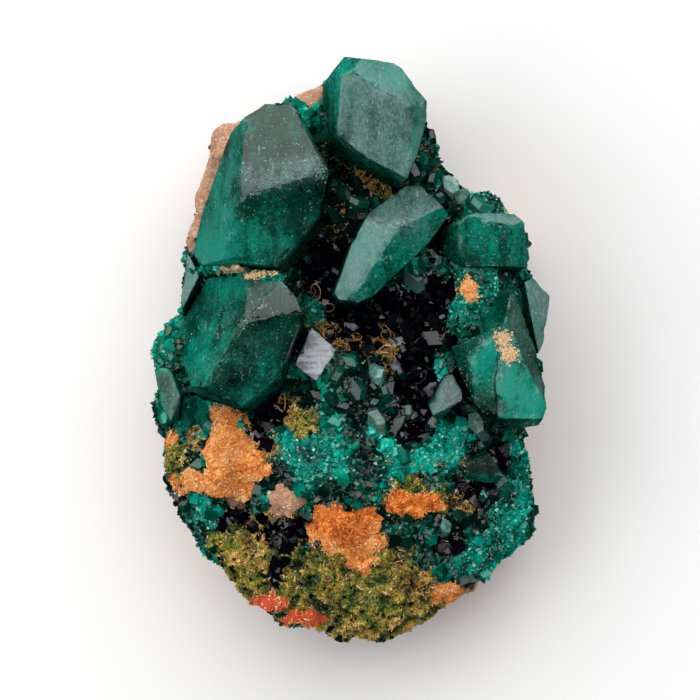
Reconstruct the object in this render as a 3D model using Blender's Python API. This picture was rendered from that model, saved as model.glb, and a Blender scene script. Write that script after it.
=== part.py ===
"""Dioptase specimen: deep green crystals standing on a lump of weathered host rock.

The specimen lies on its broken flat back. X runs across it, Y along it towards its top end
and Z away from the table. The numbers in the tables are millimetres.
"""

import math

import bmesh
import bpy
import numpy as np
from mathutils import Matrix, Vector, noise

# Sizes and settings
MM = 0.001
GAP = 0.3  # clearance between a crystal and the pocket it sits in
REACH = 60.0  # side of the block that each crystal is cut from
COLLECTION = "dioptase"
ROCK_CENTRE = (-0.3, -1.5)
ROCK_WAIST = 6.5  # height at which the rock is widest
ROCK_DOME = 13.0
ROCK_EDGE = 10.4
NOISE_SEED = 5

# Outline of the rock seen from above, anticlockwise
ROCK_OUTLINE = [
    (5.2, 16.9), (3.6, 19.0), (0.8, 20.2), (-1.3, 19.9), (-3.2, 18.2), (-6.5, 17.1), (-8.9, 16.5),
    (-9.9, 15.6),
    (-10.3, 12.3), (-11.0, 10.4), (-11.7, 8.6), (-12.2, 3.6), (-13.4, 1.1), (-14.1, -0.8),
    (-13.6, -5.1), (-12.9, -9.4), (-11.5, -12.3), (-9.9, -15.2), (-8.2, -16.7), (-6.7, -18.1),
    (-4.8, -19.5), (-1.4, -20.1), (2.6, -20.7), (3.6, -20.6), (5.1, -19.6), (7.7, -18.1),
    (9.7, -16.7), (11.3, -15.2), (12.7, -13.8), (13.3, -12.3), (12.8, -9.4), (12.3, -5.8),
    (13.0, 0.7), (13.0, 4.0), (12.6, 7.0), (11.7, 9.5), (10.6, 10.7), (8.8, 10.9), (7.5, 12.3),
    (6.5, 13.5),
]

# Swells and hollows of the rock's upper side: x, y, radius, height
ROCK_RELIEF = [
    (-2.6, 6.2, 2.0, -4.6), (-1.2, 3.6, 1.9, -4.0), (1.6, 2.0, 2.1, -5.2), (4.4, 2.6, 2.2, -5.4),
    (6.6, 3.4, 1.6, -3.6), (4.8, -1.6, 1.9, -5.0), (5.0, -4.4, 1.7, -4.4), (4.9, -6.6, 1.2, -1.8),
    (-4.9, -3.1, 1.3, -3.4), (-6.6, -5.2, 1.5, -3.0), (-3.4, -2.4, 1.2, -2.2), (-8.3, -12.2, 1.3, -2.8),
    (-5.6, -13.6, 1.4, -2.6), (-3.7, -15.0, 1.1, -1.6), (-10.9, -5.2, 1.0, -2.4), (-11.3, -2.9, 0.9, -1.8),
    (-1.3, 14.1, 1.2, -2.0), (1.0, 13.0, 1.1, -2.4), (3.4, 12.2, 1.3, -2.6), (7.1, 8.0, 1.2, -2.4),
    (9.4, 4.3, 2.9, 3.8), (6.9, 5.0, 1.6, 1.4), (0.2, 0.3, 1.3, 2.6), (2.9, 0.0, 1.2, 2.0),
    (1.0, -2.6, 1.9, 1.2), (-1.4, -4.2, 1.7, 0.6), (-2.6, -7.6, 2.4, 1.8), (2.2, -7.9, 2.4, 1.9),
    (7.6, -7.6, 1.8, 1.2), (-8.8, -6.4, 2.2, 1.7), (-10.4, -9.4, 1.8, 1.3), (-4.6, -10.8, 1.3, 1.4),
    (-0.3, -12.8, 2.2, 1.7), (4.6, -11.0, 1.8, 1.3), (6.8, -13.0, 1.8, 1.0), (9.9, -12.0, 2.2, 1.7),
    (-7.6, -15.2, 1.6, 1.1), (2.9, -18.2, 2.2, 1.4), (-2.6, -17.4, 1.8, 0.8), (7.2, -16.8, 1.8, 1.0),
    (0.0, 10.2, 1.9, 1.4), (1.2, 12.0, 1.3, 1.2), (-2.2, 15.4, 1.8, 1.8), (-3.2, 17.6, 1.3, 2.6),
    (-9.6, 14.6, 1.4, 4.2), (-10.3, 11.6, 1.2, 3.4), (5.8, 13.9, 1.6, 3.2), (7.3, 11.9, 1.3, 2.4),
    (-13.2, 0.4, 1.4, 2.2), (-11.6, 5.6, 1.2, 1.6), (10.9, 0.8, 1.6, 1.6), (9.8, 10.6, 1.3, 5.0),
    (1.5, 17.0, 4.0, 2.6), (-5.5, 17.0, 2.0, 2.4), (12.6, -2.0, 2.4, 1.2), (13.0, 4.0, 2.0, 1.0),
]

# Large crystals. Each has the point where its main faces meet, the lean of its prism, the fall
# of its first face along X and Y, the faces folded down from one already there along a line,
# the lines where its prism sides start and the height of its foot. Lines run anticlockwise.
CRYSTALS = {
    "crystal_left_upper": [
        {
            "peak": (-7.8, 10.9, 20.6),
            "axis": (-0.02, 0.13),
            "first": ("top", 0.05, 0.34),
            "folds": [
                ("front", "top", (-7.8, 10.9), (-1.45, 12.8), 0.80),
                ("left", "top", (-7.6, 16.2), (-7.8, 10.9), 2.55),
                ("rim", "top", (-1.9, 13.2), (-4.1, 17.5), 1.6),
            ],
            "sides": [
                ((-1.5, 12.8), (-3.8, 17.5)), ((-3.8, 17.5), (-6.1, 17.6)),
                ((-6.1, 17.6), (-8.6, 15.6)), ((-8.6, 15.6), (-10.7, 9.8)),
                ((-10.7, 9.8), (-11.3, 7.0)), ((-11.3, 7.0), (-10.6, 6.1)),
                ((-10.6, 6.1), (-5.2, 5.95)), ((-5.2, 5.95), (-2.2, 9.6)),
                ((-2.2, 9.6), (-1.5, 12.8)),
            ],
            "foot": 6.0,
        }
    ],
    "crystal_left_lower": [
        {
            "peak": (-7.6, 2.1, 19.6),
            "axis": (-0.02, 0.13),
            "first": ("top", 0.08, 0.40),
            "folds": [
                ("upper", "top", (-5.2, 4.5), (-7.6, 2.1), 0.40),
                ("front", "top", (-7.6, 2.1), (-3.4, 2.7), 0.95),
                ("left", "upper", (-7.4, 4.7), (-7.6, 2.1), 1.75),
            ],
            "sides": [
                ((-3.4, 2.7), (-3.9, 3.9)), ((-3.9, 3.9), (-5.1, 5.15)),
                ((-5.1, 5.15), (-10.3, 5.25)), ((-10.3, 5.25), (-12.8, 1.0)),
                ((-12.8, 1.0), (-11.4, -2.6)), ((-11.4, -2.6), (-7.7, -4.0)),
                ((-7.7, -4.0), (-5.0, -1.9)), ((-5.0, -1.9), (-3.4, 2.7)),
            ],
            "foot": 5.0,
        }
    ],
    "crystal_left_back": [
        {
            "peak": (-10.9, 7.0, 12.6),
            "axis": (-0.02, 0.13),
            "first": ("top", -0.5, 0.1),
            "folds": [],
            "sides": [
                ((-11.05, 5.7), (-11.8, 7.1)), ((-11.8, 7.1), (-12.25, 3.6)),
                ((-12.25, 3.6), (-12.15, 2.9)), ((-12.15, 2.9), (-10.95, 5.3)),
                ((-10.95, 5.3), (-11.05, 5.7)),
            ],
            "foot": 7.5,
        }
    ],
    "crystal_left_edge": [
        {
            "peak": (-13.0, -1.3, 11.6),
            "axis": (-0.1, -0.05),
            "first": ("top", -0.35, 0.30),
            "folds": [("front", "top", (-13.0, -5.2), (-12.3, -3.3), 1.2)],
            "sides": [
                ((-13.1, -1.2), (-14.2, -1.4)), ((-14.2, -1.4), (-13.7, -4.0)),
                ((-13.7, -4.0), (-12.9, -5.3)), ((-12.9, -5.3), (-12.4, -5.2)),
                ((-12.4, -5.2), (-12.3, -3.3)), ((-12.3, -3.3), (-13.1, -1.2)),
            ],
            "foot": 7.0,
        }
    ],
    "crystal_top": [
        {
            "peak": (4.35, 17.2, 20.6),
            "axis": (0.1, 0.08),
            "first": ("front", -0.07, -0.20),
            "folds": [
                ("upper", "front", (4.35, 17.2), (0.35, 19.7), 0.9),
                ("right", "front", (4.35, 12.3), (4.35, 17.2), 0.9),
                ("corner", "upper", (0.8, 20.9), (-0.6, 18.4), 1.0),
                ("left", "front", (-0.7, 18.4), (-0.95, 15.3), 2.0),
            ],
            "sides": [
                ((4.1, 12.2), (4.9, 14.2)), ((4.9, 14.2), (5.5, 16.6)),
                ((5.5, 16.6), (5.5, 17.7)), ((5.5, 17.7), (3.7, 20.1)),
                ((3.7, 20.1), (3.1, 20.5)), ((3.1, 20.5), (-0.4, 20.95)),
                ((-0.4, 20.95), (-1.2, 19.8)), ((-1.2, 19.8), (-1.05, 15.3)),
                ((-1.05, 15.3), (1.4, 13.6)), ((1.4, 13.6), (4.1, 12.2)),
            ],
            "foot": 11.0,
        }
    ],
    "crystal_centre": [
        {
            "peak": (3.6, 8.85, 17.6),
            "axis": (0.05, 0.05),
            "first": ("main", -0.30, 0.0),
            "folds": [
                ("upper", "main", (3.6, 8.85), (1.15, 9.3), 0.70),
                ("side", "main", (0.15, 3.7), (3.6, 8.85), 0.77),
            ],
            "sides": [
                ((5.6, 7.6), (7.1, 9.7)), ((7.1, 9.7), (6.0, 11.0)),
                ((6.0, 11.0), (5.0, 11.9)), ((5.0, 11.9), (4.1, 11.9)),
                ((4.1, 11.9), (1.3, 9.8)), ((1.3, 9.8), (0.1, 7.6)),
                ((0.1, 7.6), (-1.15, 4.1)), ((-1.15, 4.1), (-0.8, 3.6)),
                ((-0.8, 3.6), (0.5, 3.4)), ((0.5, 3.4), (1.6, 3.8)), ((1.6, 3.8), (5.6, 7.6)),
            ],
            "foot": 4.5,
        }
    ],
    "crystal_right_upper": [
        {
            "peak": (11.75, 8.95, 16.4),
            "axis": (0.12, 0.1),
            "first": ("front", -0.02, -0.27),
            "folds": [
                ("top", "front", (11.75, 8.95), (9.4, 9.5), 1.3),
                ("right", "front", (11.55, 6.3), (11.75, 8.95), 0.93),
                ("left", "front", (7.8, 9.0), (7.8, 6.4), 1.6),
            ],
            "sides": [
                ((12.6, 5.9), (12.95, 6.6)), ((12.95, 6.6), (12.55, 9.1)),
                ((12.55, 9.1), (11.8, 9.8)), ((11.8, 9.8), (9.0, 9.9)),
                ((9.0, 9.9), (7.1, 9.0)), ((7.1, 9.0), (6.6, 7.0)),
                ((6.6, 7.0), (8.3, 6.0)), ((8.3, 6.0), (12.6, 5.9)),
            ],
            "foot": 8.0,
        }
    ],
    "crystal_right_back": [
        {
            "peak": (13.6, 3.0, 13.2),
            "axis": (0.2, 0.03),
            "first": ("top", 0.45, 0.10),
            "folds": [],
            "sides": [
                ((13.6, -0.3), (14.0, 0.6)), ((14.0, 0.6), (14.45, 3.7)),
                ((14.45, 3.9), (13.2, 5.3)), ((13.2, 5.3), (12.6, 4.9)),
                ((12.6, 4.9), (13.6, -0.3)),
            ],
            "foot": 8.0,
        }
    ],
    "crystal_right_lower": [
        {
            "peak": (12.4, -0.8, 19.2),
            "axis": (0.2, -0.1),
            "first": ("front", -0.17, -0.20),
            "folds": [
                ("top", "front", (14.0, -3.95), (11.2, 1.8), 1.6),
                ("under", "front", (9.4, -4.9), (13.4, -4.9), 1.1),
            ],
            "sides": [
                ((13.5, -5.4), (14.05, -4.2)), ((14.05, -4.2), (13.95, -2.6)),
                ((13.95, -2.6), (13.5, -0.7)), ((13.5, -0.7), (11.9, 4.0)),
                ((11.9, 4.0), (11.5, 4.0)), ((11.5, 4.0), (10.9, 1.7)),
                ((10.9, 1.7), (10.4, -2.0)), ((10.4, -2.0), (10.4, -6.0)),
                ((10.4, -6.0), (13.5, -5.4)),
            ],
            "foot": 7.0,
        },
        {
            "peak": (9.6, -1.6, 18.0),
            "axis": (0.0, 0.0),
            "first": ("front", -0.10, -0.25),
            "folds": [
                ("left", "front", (8.5, -0.2), (9.0, -4.2), 1.1),
                ("upper", "front", (10.9, 1.5), (8.5, -0.2), 0.9),
                ("under", "front", (9.0, -4.3), (13.0, -4.8), 1.1),
            ],
            "sides": [
                ((9.9, -6.0), (13.0, -5.5)), ((13.0, -5.5), (12.4, -1.0)),
                ((12.4, -1.0), (11.2, 2.0)), ((11.2, 2.0), (7.3, 0.2)),
                ((7.3, 0.2), (7.6, -1.2)), ((7.6, -1.2), (8.9, -3.8)), ((8.9, -3.8), (9.9, -6.0)),
            ],
            "foot": 9.5,
        },
    ],
    "crystal_plate": [
        {
            "peak": (-3.4, 1.5, 13.6),
            "axis": (0.0, 0.0),
            "first": ("top", 0.1, 0.1),
            "folds": [],
            "sides": [
                ((-2.4, -2.3), (-0.95, 0.0)), ((-0.95, 0.0), (-2.8, 1.65)),
                ((-2.8, 1.65), (-4.0, -1.1)), ((-4.0, -1.1), (-2.4, -2.3)),
            ],
            "foot": 11.5,
        }
    ],
    "crystal_pocket": [
        {
            "peak": (7.0, -3.0, 14.4),
            "axis": (0.0, 0.0),
            "first": ("top", -0.2, 0.3),
            "folds": [("front", "top", (6.0, -4.7), (8.0, -3.7), 1.0)],
            "sides": [
                ((6.6, -5.0), (8.1, -3.6)), ((8.1, -3.6), (8.1, -3.0)),
                ((8.1, -3.0), (7.4, -1.7)), ((7.4, -1.7), (6.8, -1.8)),
                ((6.8, -1.8), (5.6, -3.9)), ((5.6, -3.9), (6.0, -4.9)),
                ((6.0, -4.9), (6.6, -5.0)),
            ],
            "foot": 9.0,
        }
    ],
    "crystal_lower_right": [
        {
            "peak": (9.6, -8.4, 13.0),
            "axis": (0.25, -0.25),
            "first": ("top", 0.05, -0.1),
            "folds": [("front", "top", (8.2, -8.9), (10.9, -9.1), 1.2)],
            "sides": [
                ((8.2, -9.4), (10.6, -9.65)), ((10.6, -9.65), (11.1, -9.1)),
                ((11.1, -9.1), (10.1, -7.5)), ((10.1, -7.5), (8.4, -8.1)),
                ((8.4, -8.1), (8.2, -9.4)),
            ],
            "foot": 5.0,
        }
    ],
}

# Small crystals that grew into the rock's crust: x, y, height of the tip, radius, length,
# direction of the tip in degrees, tilt from upright in degrees, turn about its own axis
SMALL_CRYSTALS = [
    (1.9, -5.0, 13.2, 1.15, 5.0, 100, 22, 10), (4.5, -4.5, 11.6, 0.95, 4.5, 200, 20, 25),
    (0.3, -2.2, 13.6, 1.25, 5.0, 60, 30, 5), (2.2, -3.3, 13.9, 1.15, 5.0, 330, 35, 40),
    (-1.2, -2.8, 13.2, 1.05, 4.5, 150, 30, 15), (3.4, -2.0, 12.6, 0.85, 4.0, 20, 30, 30),
    (9.4, -5.3, 13.4, 0.95, 5.0, 40, 50, 12), (6.9, -12.8, 12.9, 0.85, 4.0, 60, 25, 35),
    (6.0, 14.4, 15.0, 1.05, 6.0, 20, 28, 8), (5.6, 12.9, 14.4, 0.95, 5.0, 340, 32, 50),
    (7.4, 11.7, 14.2, 1.05, 5.0, 70, 25, 22), (8.2, 10.8, 13.6, 0.85, 4.5, 30, 35, 18),
    (9.8, 10.5, 13.8, 1.15, 7.5, 80, 10, 44), (-12.9, 0.6, 13.0, 1.15, 5.0, 150, 30, 30),
    (-13.3, -0.6, 12.2, 0.95, 4.5, 190, 35, 5), (4.7, 5.6, 13.6, 1.15, 5.5, 250, 25, 15),
    (6.2, 6.6, 14.0, 0.80, 4.5, 280, 20, 33), (-2.0, 10.0, 13.8, 1.15, 5.5, 200, 30, 20),
    (-0.6, 8.0, 12.6, 1.05, 5.0, 260, 30, 48), (0.4, 11.2, 13.9, 1.05, 5.0, 100, 25, 27),
    (-0.9, 12.0, 13.4, 0.95, 4.5, 160, 25, 14), (-2.4, 16.6, 15.2, 1.15, 5.5, 130, 25, 38),
    (-1.9, 18.3, 14.6, 0.95, 5.0, 110, 40, 22), (11.4, -10.6, 12.4, 1.05, 5.0, 350, 35, 10),
    (-3.6, 4.6, 11.4, 0.95, 4.5, 300, 25, 31), (12.2, -7.2, 11.6, 1.05, 5.0, 20, 45, 26),
]

# Names, colours and finish of the materials
MATERIALS = {
    "rock_crust": ((0.30, 0.20, 0.09), 0.9, 0.0),
    "crystal_green": ((0.0, 0.16, 0.10), 0.12, 0.6),
    "crystal_dark": ((0.10, 0.10, 0.13), 0.35, 0.0),
}


# Clearing the scene
noise.seed_set(NOISE_SEED)
for old in list(bpy.data.objects):
    bpy.data.objects.remove(old, do_unlink=True)

part_collection = bpy.data.collections.new(COLLECTION)
bpy.context.scene.collection.children.link(part_collection)
helper_collection = bpy.data.collections.new("helpers")
bpy.context.scene.collection.children.link(helper_collection)


# Materials
def make_material(name):
    """A Principled material with the colour, roughness and transmission listed for it."""
    colour, roughness, transmission = MATERIALS[name]
    material = bpy.data.materials.new(name)
    material.use_nodes = True
    shader = material.node_tree.nodes["Principled BSDF"]
    shader.inputs["Base Color"].default_value = (*colour, 1.0)
    shader.inputs["Roughness"].default_value = roughness
    shader.inputs["Transmission Weight"].default_value = transmission
    shader.inputs["IOR"].default_value = 1.66
    return material


materials = {name: make_material(name) for name in MATERIALS}


# Making solids from shapes
def keep_inside(shape, point, normal):
    """Cuts away what lies outside a plane and closes the cut with one flat face."""
    everything = shape.verts[:] + shape.edges[:] + shape.faces[:]
    bmesh.ops.bisect_plane(
        shape, geom=everything, dist=1e-5, plane_co=point, plane_no=normal, clear_outer=True
    )
    open_edges = [edge for edge in shape.edges if edge.is_boundary]
    if open_edges:
        bmesh.ops.edgeloop_fill(shape, edges=open_edges)


def crystal_planes(spec):
    """The planes that bound one crystal, as pairs of a point and an outward normal."""
    x, y, z = spec["peak"]
    name, fall_x, fall_y = spec["first"]
    slopes = {name: (-fall_x, -fall_y, x, y, z)}

    def height(face, place):
        slope_x, slope_y, at_x, at_y, at_z = slopes[face]
        return at_z + slope_x * (place[0] - at_x) + slope_y * (place[1] - at_y)

    for name, source, start, end, fold in spec["folds"]:
        along = (Vector(end) - Vector(start)).normalized()
        slope_x = slopes[source][0] - fold * along.y
        slope_y = slopes[source][1] + fold * along.x
        slopes[name] = (slope_x, slope_y, start[0], start[1], height(source, start))
    planes = []
    for slope_x, slope_y, at_x, at_y, at_z in slopes.values():
        normal = Vector((-slope_x, -slope_y, 1.0)).normalized()
        planes.append((Vector((at_x, at_y, at_z)), normal))
    axis = Vector((*spec["axis"], 1.0))
    for start, end in spec["sides"]:
        start_height = min(height(face, start) for face in slopes)
        end_height = min(height(face, end) for face in slopes)
        on_start = Vector((start[0], start[1], start_height))
        on_end = Vector((end[0], end[1], end_height))
        planes.append((on_start, (on_end - on_start).cross(axis).normalized()))
    planes.append((Vector((0.0, 0.0, spec["foot"])), Vector((0.0, 0.0, -1.0))))
    return planes


def cut_crystal(spec, growth=0.0):
    """A block cut down by every plane of a crystal, each moved outwards by the growth."""
    shape = bmesh.new()
    bmesh.ops.create_cube(shape, size=REACH)
    bmesh.ops.translate(shape, verts=shape.verts[:], vec=(0.0, 0.0, 10.0))
    for point, normal in crystal_planes(spec):
        keep_inside(shape, point + normal * growth, normal)
    return shape


def add_object(name, shape, material, collection=part_collection, helper=False):
    """Turns a shape in millimetres into a named object in metres."""
    bmesh.ops.scale(shape, verts=shape.verts[:], vec=(MM, MM, MM))
    bmesh.ops.recalc_face_normals(shape, faces=shape.faces[:])
    mesh = bpy.data.meshes.new(name)
    shape.to_mesh(mesh)
    shape.free()
    mesh.materials.append(materials[material])
    obj = bpy.data.objects.new(name, mesh)
    collection.objects.link(obj)
    if helper:
        obj.hide_render = True
        obj.display_type = "WIRE"
    return obj


def add_boolean(obj, other, operation):
    """Cuts or joins with an object or with every object of a collection."""
    boolean = obj.modifiers.new(operation.lower(), "BOOLEAN")
    boolean.operation = operation
    boolean.solver = "EXACT"
    if isinstance(other, bpy.types.Collection):
        boolean.operand_type = "COLLECTION"
        boolean.collection = other
    else:
        boolean.object = other
    return boolean


def helper_group(name):
    """A collection for shapes that only cut or join."""
    group = bpy.data.collections.new(name)
    helper_collection.children.link(group)
    return group


def connected_faces(start):
    """Every face that can be reached from one face across edges of just two faces."""
    found = {start}
    waiting = [start]
    while waiting:
        face = waiting.pop()
        for edge in face.edges:
            if len(edge.link_faces) != 2:
                continue
            for other in edge.link_faces:
                if other not in found:
                    found.add(other)
                    waiting.append(other)
    return found


def finish_rock(obj):
    """Applies the modifiers, cuts the base flat and drops the chips that the pockets cut free."""
    graph = bpy.context.evaluated_depsgraph_get()
    shape = bmesh.new()
    shape.from_object(obj, graph)
    keep_inside(shape, Vector((0.0, 0.0, 0.0)), Vector((0.0, 0.0, -1.0)))
    left = set(shape.faces)
    pieces = []
    while left:
        piece = connected_faces(next(iter(left)))
        pieces.append(piece)
        left -= piece
    pieces.sort(key=lambda piece: sum(face.calc_area() for face in piece))
    chips = [face for piece in pieces[:-1] for face in piece]
    bmesh.ops.delete(shape, geom=chips, context="FACES")
    print(f"{obj.name}: {len(pieces) - 1} loose chips dropped")
    obj.modifiers.clear()
    shape.to_mesh(obj.data)
    shape.free()


# Large crystals
def build_crystals():
    """Each large crystal as its own object, with its parallel growths joined to it."""
    for name, specs in CRYSTALS.items():
        slot = "crystal_dark" if name == "crystal_plate" else "crystal_green"
        crystal = add_object(name, cut_crystal(specs[0]), slot)
        for number, spec in enumerate(specs[1:], 1):
            growth_name = f"{name}_growth_{number}"
            growth = add_object(growth_name, cut_crystal(spec), slot, helper_collection, True)
            add_boolean(crystal, growth, "UNION")


# Host rock
def outline_reach():
    """Bearing and distance of each outline point from the rock's centre, by bearing."""
    rows = []
    for x, y in ROCK_OUTLINE:
        dx = x - ROCK_CENTRE[0]
        dy = y - ROCK_CENTRE[1]
        rows.append((math.atan2(dy, dx), math.hypot(dx, dy)))
    rows.sort()
    bearings = np.array([row[0] for row in rows])
    reaches = np.array([row[1] for row in rows])
    return bearings, reaches


def upper_height(x, y, share):
    """Height of the rock's upper side, where share runs from 0 in the middle to 1 at the rim."""
    height = ROCK_EDGE + (ROCK_DOME - ROCK_EDGE) * math.sqrt(max(0.0, 1.0 - share**3))
    for hill_x, hill_y, radius, rise in ROCK_RELIEF:
        near = ((x - hill_x) ** 2 + (y - hill_y) ** 2) / radius**2
        height += rise * math.exp(-near)
    return height


def roughen(point):
    """Moves a point of the rock by broad lumps and by small broken ledges."""
    broad = noise.noise_vector(point * 0.33) * 0.75
    fine = noise.noise_vector(point * 0.95 + Vector((7.0, 3.0, 1.0))) * 0.55
    ledge = noise.cell_vector(point * 0.55) - Vector((0.5, 0.5, 0.5))
    return point + broad + fine + ledge * 0.55


def build_rock_shape():
    """A ball pulled out to the outline and given its relief. Its flat base is cut later."""
    shape = bmesh.new()
    bmesh.ops.create_icosphere(shape, subdivisions=5, radius=1.0)
    bearings, reaches = outline_reach()
    for vert in shape.verts:
        bearing = math.atan2(vert.co.y, vert.co.x)
        level = math.acos(max(-1.0, min(1.0, vert.co.z)))
        reach = float(np.interp(bearing, bearings, reaches, period=2.0 * math.pi))
        share = math.sin(level) ** 0.85
        x = ROCK_CENTRE[0] + reach * share * math.cos(bearing)
        y = ROCK_CENTRE[1] + reach * share * math.sin(bearing)
        if vert.co.z >= 0.0:
            rise = math.cos(level) ** 0.45 if vert.co.z > 1e-6 else 0.0
            z = ROCK_WAIST + (upper_height(x, y, share) - ROCK_WAIST) * rise
        else:
            z = ROCK_WAIST - (ROCK_WAIST + 2.5) * (-math.cos(level)) ** 0.8
        vert.co = roughen(Vector((x, y, z)))
    return shape


def build_small_crystal(row):
    """A six-sided prism with a three-faced tip, sunk into the rock."""
    x, y, tip, radius, length, bearing, tilt, turn = row
    shape = bmesh.new()
    bmesh.ops.create_cone(
        shape, cap_ends=True, segments=6, radius1=radius * 1.05, radius2=radius, depth=length
    )
    bmesh.ops.translate(shape, verts=shape.verts[:], vec=(0.0, 0.0, -length / 2.0))
    lean = math.radians(51.0)
    for side in range(3):
        around = math.radians(120.0 * side)
        outward = (math.sin(lean) * math.cos(around), math.sin(lean) * math.sin(around))
        normal = Vector((*outward, math.cos(lean)))
        keep_inside(shape, Vector((0.0, 0.0, -0.02)) - normal * 0.05 * side, normal)
    turned = (
        Matrix.Translation((x, y, tip))
        @ Matrix.Rotation(math.radians(bearing), 4, "Z")
        @ Matrix.Rotation(math.radians(tilt), 4, "Y")
        @ Matrix.Rotation(math.radians(turn - bearing), 4, "Z")
    )
    bmesh.ops.transform(shape, matrix=turned, verts=shape.verts[:])
    return shape


def build_rock():
    """The rock with small crystals grown into it and a pocket for each large crystal."""
    rock = add_object("matrix", build_rock_shape(), "rock_crust")
    thinner = rock.modifiers.new("fewer faces", "DECIMATE")
    thinner.ratio = 0.55
    grown = helper_group("small crystals")
    for number, row in enumerate(SMALL_CRYSTALS):
        add_object(f"small_{number}", build_small_crystal(row), "crystal_green", grown, True)
    pockets = helper_group("pockets")
    for name, specs in CRYSTALS.items():
        for number, spec in enumerate(specs):
            pocket = cut_crystal(spec, GAP)
            add_object(f"{name}_pocket_{number}", pocket, "rock_crust", pockets, True)
    add_boolean(rock, grown, "UNION")
    add_boolean(rock, pockets, "DIFFERENCE")
    finish_rock(rock)


# Placing the part
def centre_part():
    """Moves everything so that the part's box is centred over the origin."""
    graph = bpy.context.evaluated_depsgraph_get()
    low = Vector((1.0, 1.0))
    high = Vector((-1.0, -1.0))
    for obj in part_collection.objects:
        for vert in obj.evaluated_get(graph).data.vertices:
            low = Vector(map(min, low, vert.co))
            high = Vector(map(max, high, vert.co))
    middle = (low + high) / 2.0
    print(f"moved by {-1000.0 * middle.x:.3f}, {-1000.0 * middle.y:.3f} mm")
    for obj in bpy.data.objects:
        obj.location = (-middle.x, -middle.y, 0.0)


build_crystals()
build_rock()
centre_part()
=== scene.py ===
# %% [markdown]
# # A dioptase specimen
# Stout green crystals stand on a lump of rusty host rock, and the rock itself wears a crust of
# crystals under a millimetre across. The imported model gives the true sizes: one solid for the rock
# and one for each large crystal. This script dresses them. It starts by loading that model, whose
# objects are never moved. X runs across the specimen, Y along it and Z towards the viewer.

# %% Load the model
import math

import bmesh
import bpy
import numpy as np
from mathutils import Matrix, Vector, bvhtree, noise


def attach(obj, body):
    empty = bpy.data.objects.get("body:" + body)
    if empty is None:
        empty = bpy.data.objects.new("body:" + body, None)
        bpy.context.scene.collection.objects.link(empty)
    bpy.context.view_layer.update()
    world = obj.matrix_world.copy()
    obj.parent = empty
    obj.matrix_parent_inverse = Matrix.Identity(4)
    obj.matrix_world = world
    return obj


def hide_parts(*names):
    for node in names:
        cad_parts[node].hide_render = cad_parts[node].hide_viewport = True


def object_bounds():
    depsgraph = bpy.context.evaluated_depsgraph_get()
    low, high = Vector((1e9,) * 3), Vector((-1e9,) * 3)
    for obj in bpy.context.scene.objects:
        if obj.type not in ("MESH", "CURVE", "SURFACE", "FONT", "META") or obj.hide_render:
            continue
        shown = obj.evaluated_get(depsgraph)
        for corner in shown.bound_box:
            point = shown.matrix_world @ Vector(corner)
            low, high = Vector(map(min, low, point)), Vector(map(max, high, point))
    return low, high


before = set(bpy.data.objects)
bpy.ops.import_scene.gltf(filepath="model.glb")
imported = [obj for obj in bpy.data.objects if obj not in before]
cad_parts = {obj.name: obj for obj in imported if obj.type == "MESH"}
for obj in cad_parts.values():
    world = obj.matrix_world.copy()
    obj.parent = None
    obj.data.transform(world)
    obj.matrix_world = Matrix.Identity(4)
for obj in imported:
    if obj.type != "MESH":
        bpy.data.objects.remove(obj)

MM = 0.001
NOISE_SEED = 7
CHANCE_SEED = 21
noise.seed_set(NOISE_SEED)
rng = np.random.default_rng(CHANCE_SEED)
cad_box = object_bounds()
cad_low = np.array(cad_box[0]) / MM
cad_high = np.array(cad_box[1]) / MM
crystal_names = sorted(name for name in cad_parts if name.startswith("crystal"))
print("model box in mm:", cad_low.round(2), cad_high.round(2))
print("large crystals:", len(crystal_names))

# %% [markdown]
# ## The view and the light
# The photograph looks straight down on the crystals with a long lens, so that sides hardly show.
# A wide soft light above its top end is what the crystal faces that lean that way mirror as grey.
# A weaker one faces it from the left, and a pale room fills the shadows. The room, the table and
# the rock are left out of reflections, because a pale sheen on every face would hide its green.

# %% Camera
FRAME_WIDTH = 50.6  # what the photograph takes in, at the height of the crystals' middle
VIEW_HEIGHT = 520.0
MIDDLE_HEIGHT = 13.0
AIM = (0.05, 0.13)

camera_data = bpy.data.cameras.new("camera")
camera_data.sensor_width = 36.0
camera_data.lens = 36.0 * (VIEW_HEIGHT - MIDDLE_HEIGHT) / FRAME_WIDTH
camera_data.clip_start = 0.01
camera_data.clip_end = 10.0
camera = bpy.data.objects.new("camera", camera_data)
camera.location = (AIM[0] * MM, AIM[1] * MM, VIEW_HEIGHT * MM)
bpy.context.scene.collection.objects.link(camera)
bpy.context.scene.camera = camera
print("lens", round(camera_data.lens), "mm")

# %% Lights
ROOM_BRIGHTNESS = 0.3
# Name, side in mm, distance in mm, angle from upright, bearing (90 is the specimen's top), watts
LIGHTS = [
    ("top_box", 800.0, 520.0, 40.0, 88.0, 3.9),
    ("left_box", 420.0, 480.0, 42.0, 182.0, 1.0),
]


def add_light(name, side, distance, angle, bearing, watts):
    """A square soft light aimed at the specimen."""
    data = bpy.data.lights.new(name, "AREA")
    data.shape = "SQUARE"
    data.size = side * MM
    data.energy = watts
    light = bpy.data.objects.new(name, data)
    lean = math.radians(angle)
    turn = math.radians(bearing)
    aim = Vector((math.sin(lean) * math.cos(turn), math.sin(lean) * math.sin(turn), math.cos(lean)))
    light.location = aim * distance * MM
    light.rotation_euler = aim.to_track_quat("Z", "Y").to_euler()
    bpy.context.scene.collection.objects.link(light)
    radiance = watts / (math.pi * (side * MM) ** 2)
    print(name, "radiance", round(radiance, 2))


for row in LIGHTS:
    add_light(*row)

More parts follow.
